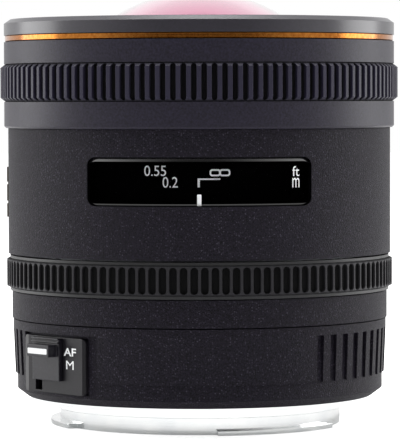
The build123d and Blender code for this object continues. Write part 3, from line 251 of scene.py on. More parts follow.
def new_bars(*bars):
    """Flat bars with clipped corners, given as low x, high x, low y, high y in millimetres."""
    mesh = bpy.data.meshes.new("bars")
    work = bmesh.new()
    for low_x, high_x, low_y, high_y in bars:
        clip = min(high_x - low_x, high_y - low_y) * bar_clip_share
        outline = [(low_x + clip, low_y), (high_x - clip, low_y), (high_x, low_y + clip),
                   (high_x, high_y - clip), (high_x - clip, high_y), (low_x + clip, high_y),
                   (low_x, high_y - clip), (low_x, low_y + clip)]
        lower = [work.verts.new((x, y, -print_depth / 2)) for x, y in outline]
        upper = [work.verts.new((x, y, print_depth / 2)) for x, y in outline]
        work.faces.new(list(reversed(lower)))
        work.faces.new(upper)
        for index in range(len(outline)):
            after = (index + 1) % len(outline)
            work.faces.new((lower[index], lower[after], upper[after], upper[index]))
    # Long bars are cut into slices, so that they bend with the face under them.
    start = min(bar[0] for bar in bars)
    reach = max(bar[1] for bar in bars) - start
    for step in range(1, int(reach / bar_slice) + 1):
        bmesh.ops.bisect_plane(work, geom=work.verts[:] + work.edges[:] + work.faces[:],
                               plane_co=(start + step * bar_slice, 0.0, 0.0), plane_no=(1.0, 0.0, 0.0))
    work.to_mesh(mesh)
    work.free()
    return mesh


def joined(name, pieces, finish):
    """Joins (mesh, mover) pairs into one mesh in place, each point moved by its mover, in millimetres."""
    whole = bmesh.new()
    for mesh, mover in pieces:
        before = len(whole.verts)
        whole.from_mesh(mesh)
        whole.verts.ensure_lookup_table()
        for point in whole.verts[before:]:
            point.co = mover(point.co) * MM
    mesh = bpy.data.meshes.new(name)
    whole.to_mesh(mesh)
    whole.free()
    mesh.materials.append(finish)
    return mesh


def on_flat(clock, distance, across, height):
    """Stands a flat mark on a plane that faces outwards at a clock angle."""
    outwards = Vector((math.sin(clock), -math.cos(clock), 0.0))
    sideways = Vector((math.cos(clock), math.sin(clock), 0.0))
    level = distance + print_depth / 2

    def mover(co):
        upwards = Vector((0.0, 0.0, height + co.y))
        return outwards * (level + co.z) + sideways * (across + co.x) + upwards

    return mover


def on_round(radius, clock_deg, height):
    """Wraps a flat mark round a cylinder at a clock angle."""
    clock = math.radians(clock_deg)

    def mover(co):
        angle = clock + co.x / radius
        reach = radius + print_depth / 2 + co.z
        return Vector((reach * math.sin(angle), -reach * math.cos(angle), height + co.y))

    return mover


def finish_shape(mesh, sharp_deg=35.0):
    """Turns every face outwards and keeps edges past an angle sharp."""
    work = bmesh.new()
    work.from_mesh(mesh)
    bmesh.ops.recalc_face_normals(work, faces=work.faces)
    work.to_mesh(mesh)
    work.free()
    mesh.shade_smooth()
    mesh.set_sharp_from_angle(angle=math.radians(sharp_deg))


def new_piece(name, mesh, body, slot, *replaced):
    """Puts a finished mesh in the scene, ties it to its CAD body and hides the CAD nodes it replaces. Its
    slot is not used.
    """
    piece = bpy.data.objects.new(name, mesh)
    bpy.context.scene.collection.objects.link(piece)
    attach(piece, body)
    if replaced:
        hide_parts(*replaced)


switch_words = joined("switch_lettering", [
    (new_lettering("AF", width=3.6, height=1.5, weight=0.02),
     on_flat(switch_clock, switch_face, letters_across, auto_letters_z)),
    (new_lettering("M", width=2.2, height=1.6),
     on_flat(switch_clock, switch_face, letters_across, manual_letter_z))], marking_white)
finish_shape(switch_words)
new_piece("switch_lettering", switch_words, "barrel", "chrome_plate")
fin_bar = joined("switch_pointer_bar", [
    (new_bars(pointer_bar), on_flat(switch_clock, fin_face, 0.0, fin_middle_z))], marking_white)
finish_shape(fin_bar)
new_piece("switch_pointer_bar", fin_bar, "af_switch", "chrome_plate")

# Manual focus ring
# A moulded rubber band with upright ribs, stretched over a turned aluminium ring.
# Each groove between two ribs ends in a half round, short of the band's plain edges.
rubber_ribs = 120
rubber_tip_radius = 37.0
rubber_base_radius = 36.38
rubber_inner_radius = 36.3
rubber_low_z = 21.35
rubber_high_z = 26.95
rubber_dark_radius = 36.45
rubber_pale_radius = 36.98
rib_lip = 0.04
rib_crown = 0.06


def ribbed_cell(count, tip_radius, base_radius, inner_radius, low_z, high_z, rib_share, end_slope, end_land):
    """One pitch of a ribbed band: a rib, half a round-ended groove each side, and the back."""
    half_pitch = math.pi / count
    groove = half_pitch * (1 - rib_share)
    middle = (low_z + high_z) / 2
    half_height = (high_z - low_z) / 2
    groove_radius = groove * tip_radius
    arc_start = half_height - end_land - groove_radius
    levels = [0.0, arc_start]
    levels += [arc_start + groove_radius * math.sin(math.radians(turn)) for turn in (20, 40, 60, 75, 90)]
    levels += [half_height - end_land / 2, half_height]
    slope_start = half_height - end_slope
    levels = sorted(set(levels + [slope_start]))
    rows = [-level for level in reversed(levels[1:])] + levels
    lip = rib_lip / tip_radius
    grid = []
    for row in rows:
        height = abs(row)
        into_arc = min(max(height - arc_start, 0.0), groove_radius)
        edge = half_pitch - math.sqrt(max(groove_radius ** 2 - into_arc ** 2, 0.0)) / tip_radius
        edge = min(edge, half_pitch - 2.5 * lip)
        fall = max(height - slope_start, 0.0) / end_slope
        top = tip_radius - (tip_radius - base_radius) * fall
        floor = base_radius if height < arc_start + groove_radius * 0.99 else top
        crown = min(rib_crown, (top - base_radius) * 0.5)
        line = [(-half_pitch, floor), (-edge - lip, floor), (-edge + lip, top - crown),
                (-edge + 3 * lip, top), (0.0, top), (edge - 3 * lip, top),
                (edge - lip, top - crown), (edge + lip, floor), (half_pitch, floor)]
        grid.append([(angle, radius, middle + row) for angle, radius in line])
    for back in (high_z, low_z):
        grid.append([(angle, inner_radius, back) for angle, radius, height in grid[0]])
    mesh = bpy.data.meshes.new("rib_cell")
    spots = [(radius * MM * math.sin(angle), -radius * MM * math.cos(angle), height * MM)
             for line in grid for angle, radius, height in line]
    across = len(grid[0])
    faces = []
    for row in range(len(grid)):
        upper = (row + 1) % len(grid)
        for column in range(across - 1):
            faces.append((row * across + column, row * across + column + 1,
                          upper * across + column + 1, upper * across + column))
    mesh.from_pydata(spots, [], faces)
    return mesh


# The tree sets copies of one piece evenly about the axis, makes them real and welds their seams.
repeat_tree = bpy.data.node_groups.new("repeat_about_the_axis", "GeometryNodeTree")
repeat_tree.interface.new_socket("Piece", in_out="INPUT", socket_type="NodeSocketGeometry")
repeat_inputs = {}
for label, kind in (("Count", "NodeSocketInt"), ("Angle between", "NodeSocketFloat"),
                    ("Weld distance", "NodeSocketFloat"), ("Finish", "NodeSocketMaterial")):
    socket = repeat_tree.interface.new_socket(label, in_out="INPUT", socket_type=kind)
    repeat_inputs[label] = socket.identifier
repeat_tree.interface.new_socket("Pieces", in_out="OUTPUT", socket_type="NodeSocketGeometry")
given = add(repeat_tree, "NodeGroupInput")
line = add(repeat_tree, "GeometryNodeMeshLine", {"Count": given.outputs["Count"], "Offset": (0.0, 0.0, 0.0)})
index = add(repeat_tree, "GeometryNodeInputIndex")
turn = add(repeat_tree, "ShaderNodeMath", {0: index.outputs[0], 1: given.outputs["Angle between"]},
           operation="MULTIPLY")
turned = add(repeat_tree, "ShaderNodeCombineXYZ", {2: turn.outputs[0]})
placed = add(repeat_tree, "GeometryNodeInstanceOnPoints", {
    "Points": line.outputs[0], "Instance": given.outputs["Piece"], "Rotation": turned.outputs[0]})
real = add(repeat_tree, "GeometryNodeRealizeInstances", {0: placed.outputs[0]})
welded = add(repeat_tree, "GeometryNodeMergeByDistance", {"Geometry": real.outputs[0],
                                                         "Distance": given.outputs["Weld distance"]})
coloured = add(repeat_tree, "GeometryNodeSetMaterial", {"Geometry": welded.outputs[0],
                                                       "Material": given.outputs["Finish"]})
add(repeat_tree, "NodeGroupOutput", {0: coloured.outputs[0]})
weld_distance = 0.002


def repeated(name, mesh, finish, count):
    """Runs the repeating tree on one mesh and gives back the whole as a plain mesh."""
    source = bpy.data.objects.new(name + "_source", mesh)
    bpy.context.scene.collection.objects.link(source)
    modifier = source.modifiers.new("repeat", "NODES")
    modifier.node_group = repeat_tree
    for label, value in (("Count", count), ("Angle between", math.radians(360.0 / count)),
                         ("Weld distance", weld_distance * MM), ("Finish", finish)):
        modifier[repeat_inputs[label]] = value
    ready = source.evaluated_get(bpy.context.evaluated_depsgraph_get())
    whole = bpy.data.meshes.new_from_object(ready)
    whole.name = name
    source.modifiers.remove(modifier)
    bpy.data.objects.remove(source)
    return whole


def rib_shading(tree, place, dark_radius, pale_radius, tip_roughness):
    """A share that rises from groove floor to rib tip, which paints shade into the grooves' colour, and a
    roughness that falls with it from 1.
    """
    groove_shade_share = add(tree, "ShaderNodeMapRange", {"Value": from_axis(tree, place), "From Min": dark_radius * MM,
                                             "From Max": pale_radius * MM})
    dulled = add(tree, "ShaderNodeMapRange", {"Value": groove_shade_share.outputs[0], "To Min": 1.0,
                                             "To Max": tip_roughness})
    return groove_shade_share.outputs[0], dulled.outputs[0]


# Moulded natural rubber, dull in the grooves. Its colour runs from nearly black at each groove's floor, as
# painted shade, to a dark grey on the rib tips.
moulded_rubber, tree, place = start_material("rubber_black_moulded")
groove_shade_share, dulled = rib_shading(tree, place, rubber_dark_radius, rubber_pale_radius, tip_roughness=0.5)
end_material(tree, {
    "Base Color": blend_colours(tree, groove_shade_share, "#040405", "#1E1D21"),
    "Roughness": dulled, "Specular IOR Level": 0.25,
    "Normal": bumped(tree, grain(tree, place, lump_mm=0.2), depth_mm=0.02, strength=0.5)})
rubber_cell = ribbed_cell(rubber_ribs, rubber_tip_radius, rubber_base_radius, rubber_inner_radius,
                          rubber_low_z, rubber_high_z, rib_share=0.3, end_slope=0.3, end_land=0.35)
rubber_mesh = repeated("focus_rubber_band", rubber_cell, moulded_rubber, rubber_ribs)
finish_shape(rubber_mesh)
new_piece("focus_rubber_band", rubber_mesh, "focus_ring", "black_rubber", "focus_rubber")

# Slip-on front ring
# A turned aluminium sleeve that slides over the nose and holds the lens cap, lined with felt.
# It has a milled grip, a gold ring let into a groove, and a bevelled lip in front.
grip_ribs = 126
grip_tip_radius = 38.1
grip_base_radius = 37.1
grip_inner_radius = 36.86
grip_low_z = 56.7
grip_high_z = 63.9
grip_dark_radius = 37.2
grip_pale_radius = 37.9

# Satin anodised aluminium: a soft violet black over a fine blasted grain.
satin_black, tree, place = start_material("aluminium_black_satin_anodised")
end_material(tree, {
    "Base Color": blend_colours(tree, grain(tree, place, lump_mm=0.4, detail=4.0), "#110D19", "#242031"),
    "Roughness": 0.4, "Specular IOR Level": 0.28,
    "Normal": bumped(tree, grain(tree, place, lump_mm=0.2), depth_mm=0.04, strength=0.4, edge_mm=0.1)})
dress(satin_black, "slip_ring_body", "nose_barrel")

# The grip has the same coat on its ribs. Its colour is painted darker towards the bottom of each milled
# groove, as painted shade, and its roughness rises there.
grip_black, tree, place = start_material("aluminium_black_anodised_milled_grip")
groove_shade_share, dulled = rib_shading(tree, place, grip_dark_radius, grip_pale_radius, tip_roughness=0.42)
end_material(tree, {
    "Base Color": blend_colours(tree, groove_shade_share, "#020104", "#232032"),
    "Roughness": dulled, "Specular IOR Level": 0.28,
    "Normal": bumped(tree, grain(tree, place, lump_mm=0.2), depth_mm=0.04, strength=0.4)})

# The rim is the same metal, cut with a finer tool, so its bevel shines.
bright_rim, tree, place = start_material("aluminium_black_anodised_fine_cut")
rings = lathe_rings(tree, place, pitch_mm=0.2)
end_material(tree, {
    "Base Color": blend_colours(tree, grain(tree, place, lump_mm=0.5), "#19151F", "#231F2A"),
    "Roughness": 0.28, "Specular IOR Level": 0.8,
    "Normal": bumped(tree, rings, depth_mm=0.01, strength=0.3, edge_mm=0.08)})
dress(bright_rim, "slip_rim")

grip_cell = ribbed_cell(grip_ribs, grip_tip_radius, grip_base_radius, grip_inner_radius,
                        grip_low_z, grip_high_z, rib_share=0.48, end_slope=0.75, end_land=0.25)
grip_mesh = repeated("slip_ring_ribs", grip_cell, grip_black, grip_ribs)
finish_shape(grip_mesh)
new_piece("slip_ring_ribs", grip_mesh, "slip_ring", "satin_black", "slip_ring_grip")

# Gold anodised aluminium: an amber mirror, drawn out sideways by the turning rings.
gold_anodised, tree, place = start_material("aluminium_gold_anodised_turned")
rings = lathe_rings(tree, place, pitch_mm=0.12)
end_material(tree, {
    "Base Color": blend_colours(tree, grain(tree, place, lump_mm=0.6), "#9C5A22", "#B87836"),
    "Metallic": 1.0, "Roughness": 0.16, "Normal": bumped(tree, rings, depth_mm=0.01, strength=0.5)})
gold_inner_radius = 36.52
gold_outer_radius = 37.2
gold_low_z = 68.08
gold_high_z = 69.32
gold_low_bevel = 0.22
gold_high_bevel = 0.16
gold_steps = 288


def turned_mesh(name, profile, finish, steps):
    """Turns a closed (radius, height) outline in millimetres about the axis."""
    mesh = bpy.data.meshes.new(name)
    spots = []
    for step in range(steps):
        angle = 2 * math.pi * step / steps
        spots += [(radius * MM * math.sin(angle), -radius * MM * math.cos(angle), height * MM)
                  for radius, height in profile]
    across = len(profile)
    faces = []
    for step in range(steps):
        here = step * across
        there = (step + 1) % steps * across
        for index in range(across):
            after = (index + 1) % across
            faces.append((here + index, there + index, there + after, here + after))
    mesh.from_pydata(spots, [], faces)
    mesh.materials.append(finish)
    finish_shape(mesh, sharp_deg=20.0)
    return mesh


gold_mesh = turned_mesh("gold_band", [
    (gold_inner_radius, gold_low_z),
    (gold_outer_radius - gold_low_bevel, gold_low_z),
    (gold_outer_radius, gold_low_z + gold_low_bevel),
    (gold_outer_radius, gold_high_z - gold_high_bevel),
    (gold_outer_radius - gold_high_bevel, gold_high_z),
    (gold_inner_radius, gold_high_z)], gold_anodised, gold_steps)
new_piece("gold_band", gold_mesh, "slip_ring", "gold_anodised", "gold_ring")

# Flocked felt: a fully matt black that drinks the light inside the ring.
felt, tree, place = start_material("felt_black_flocked")
end_material(tree, {
    "Base Color": blend_colours(tree, grain(tree, place, lump_mm=0.2), "#0C0C0D", "#1C1C1E"),
    "Roughness": 0.95, "Sheen Weight": 0.4,
    "Normal": bumped(tree, grain(tree, place, lump_mm=0.15), depth_mm=0.1, strength=0.9)})
dress(felt, "felt_lining")

# Side plate
# A thin brass plate, curved to the barrel and glued in a shallow pocket on its left side.
# Its face is bare but for two shallow grooves.

# Black nickel over brass: a dark bronze metal that shows mostly at its edges.
nickel_black, tree, place = start_material("brass_black_nickel_plated")
end_material(tree, {
    "Base Color": blend_colours(tree, grain(tree, place, lump_mm=0.8), "#3B352E", "#4A4339"),
    "Metallic": 1.0, "Roughness": 0.3,
    "Normal": bumped(tree, grain(tree, place, lump_mm=0.15), depth_mm=0.01, strength=0.4, edge_mm=0.15)})
dress(nickel_black, "badge_plate")

# Distance window
# A smoked acrylic pane with a bevel all round is glued in the barrel's opening, over a moulded mask.
# Behind it turns an aluminium drum with the printed distances, and the pane has its own index bar.

# Dead black paint: no shine at all, so that only the printed figures show.
scale_black, tree, place = start_material("aluminium_dead_black_painted")
end_material(tree, {
    "Base Color": blend_colours(tree, grain(tree, place, lump_mm=0.5), "#020202", "#040404"),
    "Roughness": 0.8, "Specular IOR Level": 0.0,
    "Normal": bumped(tree, grain(tree, place, lump_mm=0.2), depth_mm=0.01, strength=0.3)})
dress(scale_black, "scale_drum", "window_mask")

# Smoked acrylic: its coat kills the mirror image from straight ahead, and leaves it at a slant,
# where the smoke also grows denser.
pane_clear, tree, place = start_material("acrylic_smoked_coated")
slant = add(tree, "ShaderNodeLayerWeight", {"Blend": 0.5}).outputs["Facing"]
gloss = add(tree, "ShaderNodeMapRange", {"Value": slant, "From Min": 0.22, "From Max": 0.6,
                                        "To Min": 0.0, "To Max": 0.5})
film = add(tree, "ShaderNodeMapRange", {"Value": slant, "From Min": 0.2, "From Max": 0.7,
                                       "To Min": 0.06, "To Max": 0.8})
end_material(tree, {
    "Base Color": blend_colours(tree, grain(tree, place, lump_mm=4.0), "#030204", "#060508"),
    "Roughness": 0.06, "IOR": 1.49, "Specular IOR Level": gloss.outputs[0], "Alpha": film.outputs[0]})

# Its edges are lacquered black, and shine like a dark mirror round the window.
pane_edge, tree, place = start_material("acrylic_edge_black_lacquered")
end_material(tree, {
    "Base Color": blend_colours(tree, grain(tree, place, lump_mm=1.0), "#040404", "#0A0A0B"),
    "Roughness": 0.08, "IOR": 1.8, "Specular IOR Level": 0.9,
    "Normal": bumped(tree, grain(tree, place, lump_mm=0.4), depth_mm=0.002, strength=0.2)})

# The lower bevel is polished instead, and shows the pale floor as one thin line.
pane_polish, tree, place = start_material("acrylic_edge_polished")
end_material(tree, {
    "Base Color": blend_colours(tree, grain(tree, place, lump_mm=1.0), "#040404", "#0A0A0B"),
    "Roughness": 0.08, "IOR": 1.49})

# The bevels' widths run along the face, and their drops run inwards from it.
pane_outer = 36.15
pane_inner = 35.56
pane_half_width = 20.44
pane_low = 37.66
pane_high = 46.54
pane_corner = 1.45
pane_bevel = 0.75
pane_bevel_drop = 0.27
pane_low_chamfer = 0.17
pane_low_chamfer_drop = 0.4
pane_low_bevel = 0.26
pane_low_bevel_drop = 0.05
pane_end_bevel = 0.42
pane_columns = 12


def pane_mesh():
    """The pane as a curved slab with round corners and a bevel all round its front."""
    ends = [pane_end_bevel * share for share in (0.0, 0.5, 1.0)]
    ends += [pane_corner * share for share in (0.45, 0.65, 0.85, 1.0)]
    plain = [pane_corner + (pane_half_width - pane_corner) * step / pane_columns
             for step in range(1, pane_columns + 1)]
    inset = sorted(ends + plain)
    left = [gap - pane_half_width for gap in inset]
    columns = left + [-x for x in reversed(left[:-1])]
    middle = (pane_low + pane_high) / 2
    half = (pane_high - pane_low) / 2
    spots = []
    for x in columns:
        gap = pane_half_width - abs(x)
        into = max(pane_corner - gap, 0.0)
        reach = half - pane_corner + math.sqrt(max(pane_corner ** 2 - into ** 2, 0.0))
        end_drop = max(pane_end_bevel - gap, 0.0) * pane_bevel_drop / pane_end_bevel
        low_edge = -reach + pane_low_chamfer
        lines = [(-reach, pane_inner), (-reach, pane_outer - pane_low_chamfer_drop),
                 (low_edge, pane_outer - max(pane_low_bevel_drop, end_drop)),
                 (low_edge + pane_low_bevel, pane_outer - end_drop), (0.0, pane_outer - end_drop),
                 (reach - pane_bevel, pane_outer - end_drop), (reach, pane_outer - pane_bevel_drop),
                 (reach, pane_inner)]
        for rise, radius in lines:
            spots.append((x * MM, -math.sqrt(radius ** 2 - x ** 2) * MM, (middle + rise) * MM))
    # Each column has eight strips: underside, low chamfer, low bevel, two of face, bevel, top and back.
    strips = ("edge", "edge", "polish", "face", "face", "edge", "edge", "back")
    across = len(strips)
    faces = []
    finishes = []
    for step in range(len(columns) - 1):
        near_end = min(pane_half_width - abs(columns[step]), pane_half_width - abs(columns[step + 1]))
        for index, strip in enumerate(strips):
            after = (index + 1) % across
            here = step * across
            there = here + across
            faces.append((here + index, there + index, there + after, here + after))
            if strip == "polish":
                finishes.append(2)
            elif strip == "back" or (strip == "face" and near_end >= pane_end_bevel * 0.9):
                finishes.append(0)
            else:
                finishes.append(1)
    faces.append(tuple(range(across)))
    faces.append(tuple(reversed(range((len(columns) - 1) * across, len(columns) * across))))
    finishes += [1, 1]
    mesh = bpy.data.meshes.new("window_pane_bevelled")
    mesh.from_pydata(spots, [], faces)
    for finish in (pane_clear, pane_edge, pane_polish):
        mesh.materials.append(finish)
    for face, finish in zip(mesh.polygons, finishes):
        face.material_index = finish
    finish_shape(mesh, sharp_deg=20.0)
    return mesh


new_piece("window_pane_bevelled", pane_mesh(), "barrel", "window_glass", "window_pane")

# Pale enamel on the drum: it reads as a cool light grey behind the smoked pane.
scale_grey, tree, place = start_material("enamel_pale_grey_printed")
end_material(tree, {
    "Base Color": blend_colours(tree, grain(tree, place, lump_mm=0.3), "#F4F6FB", "#FAFBFE"),
    "Roughness": 0.5,
    "Normal": bumped(tree, grain(tree, place, lump_mm=0.15), depth_mm=0.01, strength=0.3)})
drum_face = 33.5
feet_row_z = 44.1
metre_row_z = 42.0
eight_clock = 6.48
eight_z = 43.74
eight_reach = 1.9
eight_overlap = 0.12
eight_half_height = 0.65
eight_stroke = 0.3
loop_corner = 0.5
loop_corner_shrink = 0.8
loop_turns = 24
index_clock = -0.1
index_z = 42.58


def new_loop(low_x, high_x):
    """A flat round-ended loop drawn with one stroke, for half of a lying eight."""
    mesh = bpy.data.meshes.new("loop")
    work = bmesh.new()
    rings = []
    for inset, level in ((0.0, -1), (0.0, 1), (eight_stroke, 1), (eight_stroke, -1)):
        corner = loop_corner - inset * loop_corner_shrink
        ring = []
        for turn in range(loop_turns):
            angle = math.radians((turn + 0.5) * 360 / loop_turns)
            far_x = (high_x - inset - corner) if math.cos(angle) > 0 else (low_x + inset + corner)
            far_y = eight_half_height - inset - corner
            if math.sin(angle) < 0:
                far_y = -far_y
            ring.append(work.verts.new((far_x + corner * math.cos(angle), far_y + corner * math.sin(angle),
                                        level * print_depth / 2)))
        rings.append(ring)
    for step, ring in enumerate(rings):
        other = rings[(step + 1) % len(rings)]
        for turn in range(loop_turns):
            after = (turn + 1) % loop_turns
            work.faces.new((ring[turn], ring[after], other[after], other[turn]))
    work.to_mesh(mesh)
    work.free()
    return mesh


# Feet stand over metres. The two nearest distances come into the window as the ring turns.
scale_marks = joined("distance_scale", [
    (new_loop(-eight_reach, eight_overlap), on_round(drum_face, eight_clock, eight_z)),
    (new_loop(-eight_overlap, eight_reach), on_round(drum_face, eight_clock, eight_z)),
    (new_lettering("0.55", width=4.1, height=1.9), on_round(drum_face, -13.9, feet_row_z)),
    (new_lettering("0.2", width=2.8, height=1.95), on_round(drum_face, -9.1, metre_row_z)),
    (new_lettering("0.45", width=4.1, height=1.9), on_round(drum_face, -54.0, feet_row_z)),
    (new_lettering("0.135", width=4.6, height=1.95), on_round(drum_face, -57.0, metre_row_z)),
    (new_bars((-0.25, 3.9, -0.13, 0.13), (-0.25, 0.17, -1.5, -0.13)),
     on_round(drum_face, index_clock, index_z)),
], scale_grey)
finish_shape(scale_marks)
new_piece("distance_scale", scale_marks, "cam_drum", "gold_contact")

chamfer_line = pane_low + pane_low_chamfer
bevel_line = chamfer_line + pane_low_bevel
bar_middle_z = 39.0
bar_low_z = 37.7
bar_rise = 0.85
bar_half_width = 0.39
unit_clock = 29.2


def on_pane(across_deg, height):
    """Wraps a flat mark on the pane, and lets it run down the lower bevel and chamfer."""
    place_flat = on_round(pane_outer, across_deg, height)

    def mover(co):
        on_bevel = min(max(bevel_line - (height + co.y), 0.0), pane_low_bevel)
        on_chamfer = max(chamfer_line - (height + co.y), 0.0)
        drop = on_bevel * pane_low_bevel_drop / pane_low_bevel
        drop += on_chamfer * (pane_low_chamfer_drop - pane_low_bevel_drop) / pane_low_chamfer
        return place_flat(co - Vector((0.0, 0.0, drop)))

    return mover


pane_print = joined("window_printed_marks", [
    (new_bars((-bar_half_width, bar_half_width, bevel_line - bar_middle_z, bar_rise),
              (-bar_half_width, bar_half_width, chamfer_line - bar_middle_z, bevel_line - bar_middle_z),
              (-bar_half_width, bar_half_width, bar_low_z - bar_middle_z, chamfer_line - bar_middle_z)),
     on_pane(0.0, bar_middle_z)),
    (new_lettering("ft", width=1.5, height=1.8), on_pane(unit_clock, 43.95)),
    (new_lettering("m", width=1.5, height=1.75), on_pane(unit_clock, 41.85))], marking_white)
finish_shape(pane_print)
new_piece("window_printed_marks", pane_print, "barrel", "chrome_plate")

# Glass
# Thirteen ground and polished elements, some cemented together, stand in nine groups in their cells.
# The front one is a deep dome, held by the trim ring.

# Multicoated glass: clear from straight ahead, a pale mirror at a slant, and the coats behind its
# face send a pink light back.
coated_glass, tree, place = start_material("optical_glass_multicoated")
facing = add(tree, "ShaderNodeLayerWeight", {"Blend": 0.5}).outputs["Facing"]
graze = add(tree, "ShaderNodeMapRange", {"Value": facing, "From Min": 0.32, "From Max": 0.5,
                                        "To Min": 0.0, "To Max": 0.85})
tint = add(tree, "ShaderNodeMapRange", {"Value": facing, "From Min": 0.4, "From Max": 0.95})
inside = add(tree, "ShaderNodeNewGeometry").outputs["Backfacing"]
outside = add(tree, "ShaderNodeMapRange", {"Value": inside, "To Min": 1.0, "To Max": 0.0})
pale = add(tree, "ShaderNodeMath", {0: tint.outputs[0], 1: outside.outputs[0]}, operation="MULTIPLY")
end_material(tree, {
    "Base Color": blend_colours(tree, pale.outputs[0], "#F5A0C0", "#FFFFFF"),
    "Metallic": graze.outputs[0], "Roughness": 0.02, "IOR": 1.6, "Transmission Weight": 1.0,
    "Specular Tint": blend_colours(tree, inside, "#FFFFFF", "#F58FB4"),
    "Normal": bumped(tree, grain(tree, place, lump_mm=8.0), depth_mm=0.002, strength=0.2)})
dress(coated_glass, "front_element")

# Polished glass of the inner elements: clear, with a breath of violet.
inner_glass, tree, place = start_material("optical_glass_polished")
end_material(tree, {
    "Base Color": blend_colours(tree, grain(tree, place, lump_mm=5.0), "#E9EDF6", "#F4F0FA"),
    "Roughness": 0.02, "IOR": 1.6, "Transmission Weight": 1.0})
dress(inner_glass, "second_element", "third_element", "fourth_group", "sixth_element", "sixth_group",
      "seventh_group", "eighth_group", "rear_element")

# Inner metalwork, iris, motor and electronics
# The chassis, cam ring, guide tube and rotor are turned from aluminium and left plain inside.
# The iris has six thin steel blades, pinned between its housing and its turning ring. The ring
# motor's stator is a bronze comb, and the curved circuit board lies on the chassis foot.

# Machined aluminium: a pale grey metal with plain tool marks.
inner_metal, tree, place = start_material("aluminium_machined")
rings = lathe_rings(tree, place, pitch_mm=0.25)
end_material(tree, {
    "Base Color": blend_colours(tree, grain(tree, place, lump_mm=1.5), "#8E9094", "#A8AAAE"),
    "Metallic": 1.0, "Roughness": 0.35, "Normal": bumped(tree, rings, depth_mm=0.02, strength=0.6)})
dress(inner_metal, "chassis", "cam_ring", "guide_tube", "motor_rotor")

# Coated spring steel: a dark, half metallic grey that gives no glare.
blade_steel, tree, place = start_material("spring_steel_black_coated")
end_material(tree, {
    "Base Color": blend_colours(tree, grain(tree, place, lump_mm=0.7), "#1F2024", "#2D2E33"),
    "Metallic": 0.6, "Roughness": 0.45,
    "Normal": bumped(tree, grain(tree, place, lump_mm=0.2), depth_mm=0.01, strength=0.3)})
dress(blade_steel, "iris_ring", *["iris_blade_%d" % number for number in range(1, 7)])

# Milled bronze: a warm brown metal.
bronze, tree, place = start_material("bronze_comb_milled")
end_material(tree, {
    "Base Color": blend_colours(tree, grain(tree, place, lump_mm=1.0), "#8C6239", "#A97B4C"),
    "Metallic": 1.0, "Roughness": 0.4,
    "Normal": bumped(tree, grain(tree, place, lump_mm=0.2), depth_mm=0.02, strength=0.4)})
dress(bronze, "motor_stator")

# Solder mask over glass fibre: a glossy dark green.
solder_mask, tree, place = start_material("fibreglass_board_green_mask")
end_material(tree, {
    "Base Color": blend_colours(tree, grain(tree, place, lump_mm=0.8), "#0C3B22", "#14512F"),
    "Roughness": 0.3,
    "Normal": bumped(tree, grain(tree, place, lump_mm=0.4), depth_mm=0.01, strength=0.4)})
dress(solder_mask, "main_board")

# Moulded epoxy: the dull black of chip cases.
chip_epoxy, tree, place = start_material("epoxy_black_moulded")
end_material(tree, {
    "Base Color": blend_colours(tree, grain(tree, place, lump_mm=0.3), "#151516", "#202022"),
    "Roughness": 0.55,
    "Normal": bumped(tree, grain(tree, place, lump_mm=0.12), depth_mm=0.01, strength=0.4)})
dress(chip_epoxy, "board_chips")

# Studio: floor, white room, softboxes and the photograph's camera
# The lens stands on its mount on white paper, in a white room with a softbox on each side and one above.
# The paper's glow is for the camera, gloss and glass alone, so the object keeps its shadow.
floor_z = -4.86
floor_reach = 3.0
camera_glow = 0.7
gloss_glow = 0.15
floor_mesh = bpy.data.meshes.new("studio_floor")
floor_mesh.from_pydata([(-floor_reach, -floor_reach, floor_z * MM), (floor_reach, -floor_reach, floor_z * MM),
                        (floor_reach, floor_reach, floor_z * MM), (-floor_reach, floor_reach, floor_z * MM)],
                       [], [(0, 1, 2, 3)])
floor = bpy.data.objects.new("studio_floor", floor_mesh)
bpy.context.scene.collection.objects.link(floor)

# Matt paper: an even white without any shine.
paper, tree, place = start_material("paper_white_matt")
ray = add(tree, "ShaderNodeLightPath")
seen = add(tree, "ShaderNodeMath", {0: ray.outputs["Is Glossy Ray"], 1: ray.outputs["Is Transmission Ray"]},
           operation="MAXIMUM")
dim = add(tree, "ShaderNodeMath", {0: seen.outputs[0], 1: gloss_glow}, operation="MULTIPLY")
glow = add(tree, "ShaderNodeMath", {0: ray.outputs["Is Camera Ray"], 1: camera_glow, 2: dim.outputs[0]},
           operation="MULTIPLY_ADD")
end_material(tree, {
    "Base Color": blend_colours(tree, grain(tree, place, lump_mm=30.0), "#F4F4F4", "#F8F8F8"),
    "Roughness": 0.9, "Emission Color": linear("#FFFFFF"), "Emission Strength": glow.outputs[0]})
floor_mesh.materials.append(paper)

# The room is white to the camera and through glass. In gloss it is dark in front of the lens, where
# a studio's camera stands, and white elsewhere, and it fills the shadows softly.
dark_front = 0.08
shadow_fill = 0.4
world = bpy.data.worlds.new("studio")
bpy.context.scene.world = world
world.use_nodes = True
tree = world.node_tree
tree.nodes.clear()
ray = add(tree, "ShaderNodeLightPath")
direction = add(tree, "ShaderNodeTexCoord").outputs["Generated"]
towards = add(tree, "ShaderNodeSeparateXYZ", {0: direction})
white_side = add(tree, "ShaderNodeMapRange", {"Value": towards.outputs[1], "From Min": -0.9, "From Max": -0.4,
                                             "To Min": dark_front, "To Max": 1.0})
seen = add(tree, "ShaderNodeMath", {0: ray.outputs["Is Camera Ray"], 1: ray.outputs["Is Transmission Ray"]},
           operation="MAXIMUM")
for_gloss = add(tree, "ShaderNodeMath", {0: ray.outputs["Is Glossy Ray"], 1: white_side.outputs[0]},
                operation="MULTIPLY")
level = add(tree, "ShaderNodeMath", {0: seen.outputs[0], 1: for_gloss.outputs[0]}, operation="MAXIMUM")
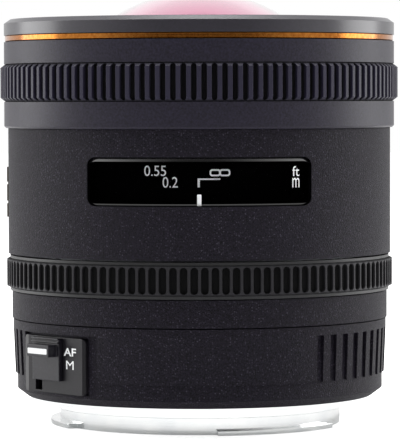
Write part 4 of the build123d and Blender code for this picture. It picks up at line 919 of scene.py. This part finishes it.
fill = add(tree, "ShaderNodeMath", {0: ray.outputs["Is Diffuse Ray"], 1: shadow_fill}, operation="MULTIPLY")
level = add(tree, "ShaderNodeMath", {0: level.outputs[0], 1: fill.outputs[0]}, operation="MAXIMUM")
sky = add(tree, "ShaderNodeBackground", {"Color": (1.0, 1.0, 1.0, 1.0), "Strength": level.outputs[0]})
add(tree, "ShaderNodeOutputWorld", {"Surface": sky.outputs[0]})

lamp_aim = (0.0, 0.0, 0.03)


def softbox(name, spot, width, height, power):
    """One rectangular lamp that looks at the lens; places in metres, power in watts."""
    lamp = bpy.data.lights.new(name, "AREA")
    lamp.shape = "RECTANGLE"
    lamp.size = width
    lamp.size_y = height
    lamp.energy = power
    holder = bpy.data.objects.new(name, lamp)
    bpy.context.scene.collection.objects.link(holder)
    holder.location = spot
    holder.rotation_euler = (Vector(lamp_aim) - Vector(spot)).to_track_quat("-Z", "Y").to_euler()
    # Seen through the glass, the lamps would be brighter than the white room round them.
    holder.visible_transmission = False


softbox("softbox_left", (-0.75, 0.25, 0.2), width=0.5, height=0.8, power=4.2)
softbox("softbox_right", (0.75, 0.25, 0.2), width=0.5, height=0.8, power=4.2)
softbox("softbox_top", (0.0, -0.02, 0.6), width=0.6, height=0.34, power=4.4)

# The camera was fitted to the photograph: a long lens, a little above the middle of the object.
camera_distance = 0.612
camera_height = 0.05733
aim_height = 0.03396
side_step = 0.000115
camera_roll = math.radians(-0.16)
camera_data = bpy.data.cameras.new("photo_camera")
camera_data.lens = 260.9
camera_data.sensor_width = 36.0
camera_data.clip_start = 0.01
camera_data.clip_end = 20.0
camera = bpy.data.objects.new("photo_camera", camera_data)
bpy.context.scene.collection.objects.link(camera)
spot = Vector((side_step, -camera_distance, camera_height))
aim = Vector((side_step, 0.0, aim_height))
look = (aim - spot).to_track_quat("-Z", "Y").to_matrix().to_4x4()
camera.matrix_world = Matrix.Translation(spot) @ look @ Matrix.Rotation(camera_roll, 4, "Z")
bpy.context.scene.camera = camera
bpy.context.scene.view_settings.view_transform = "Standard"
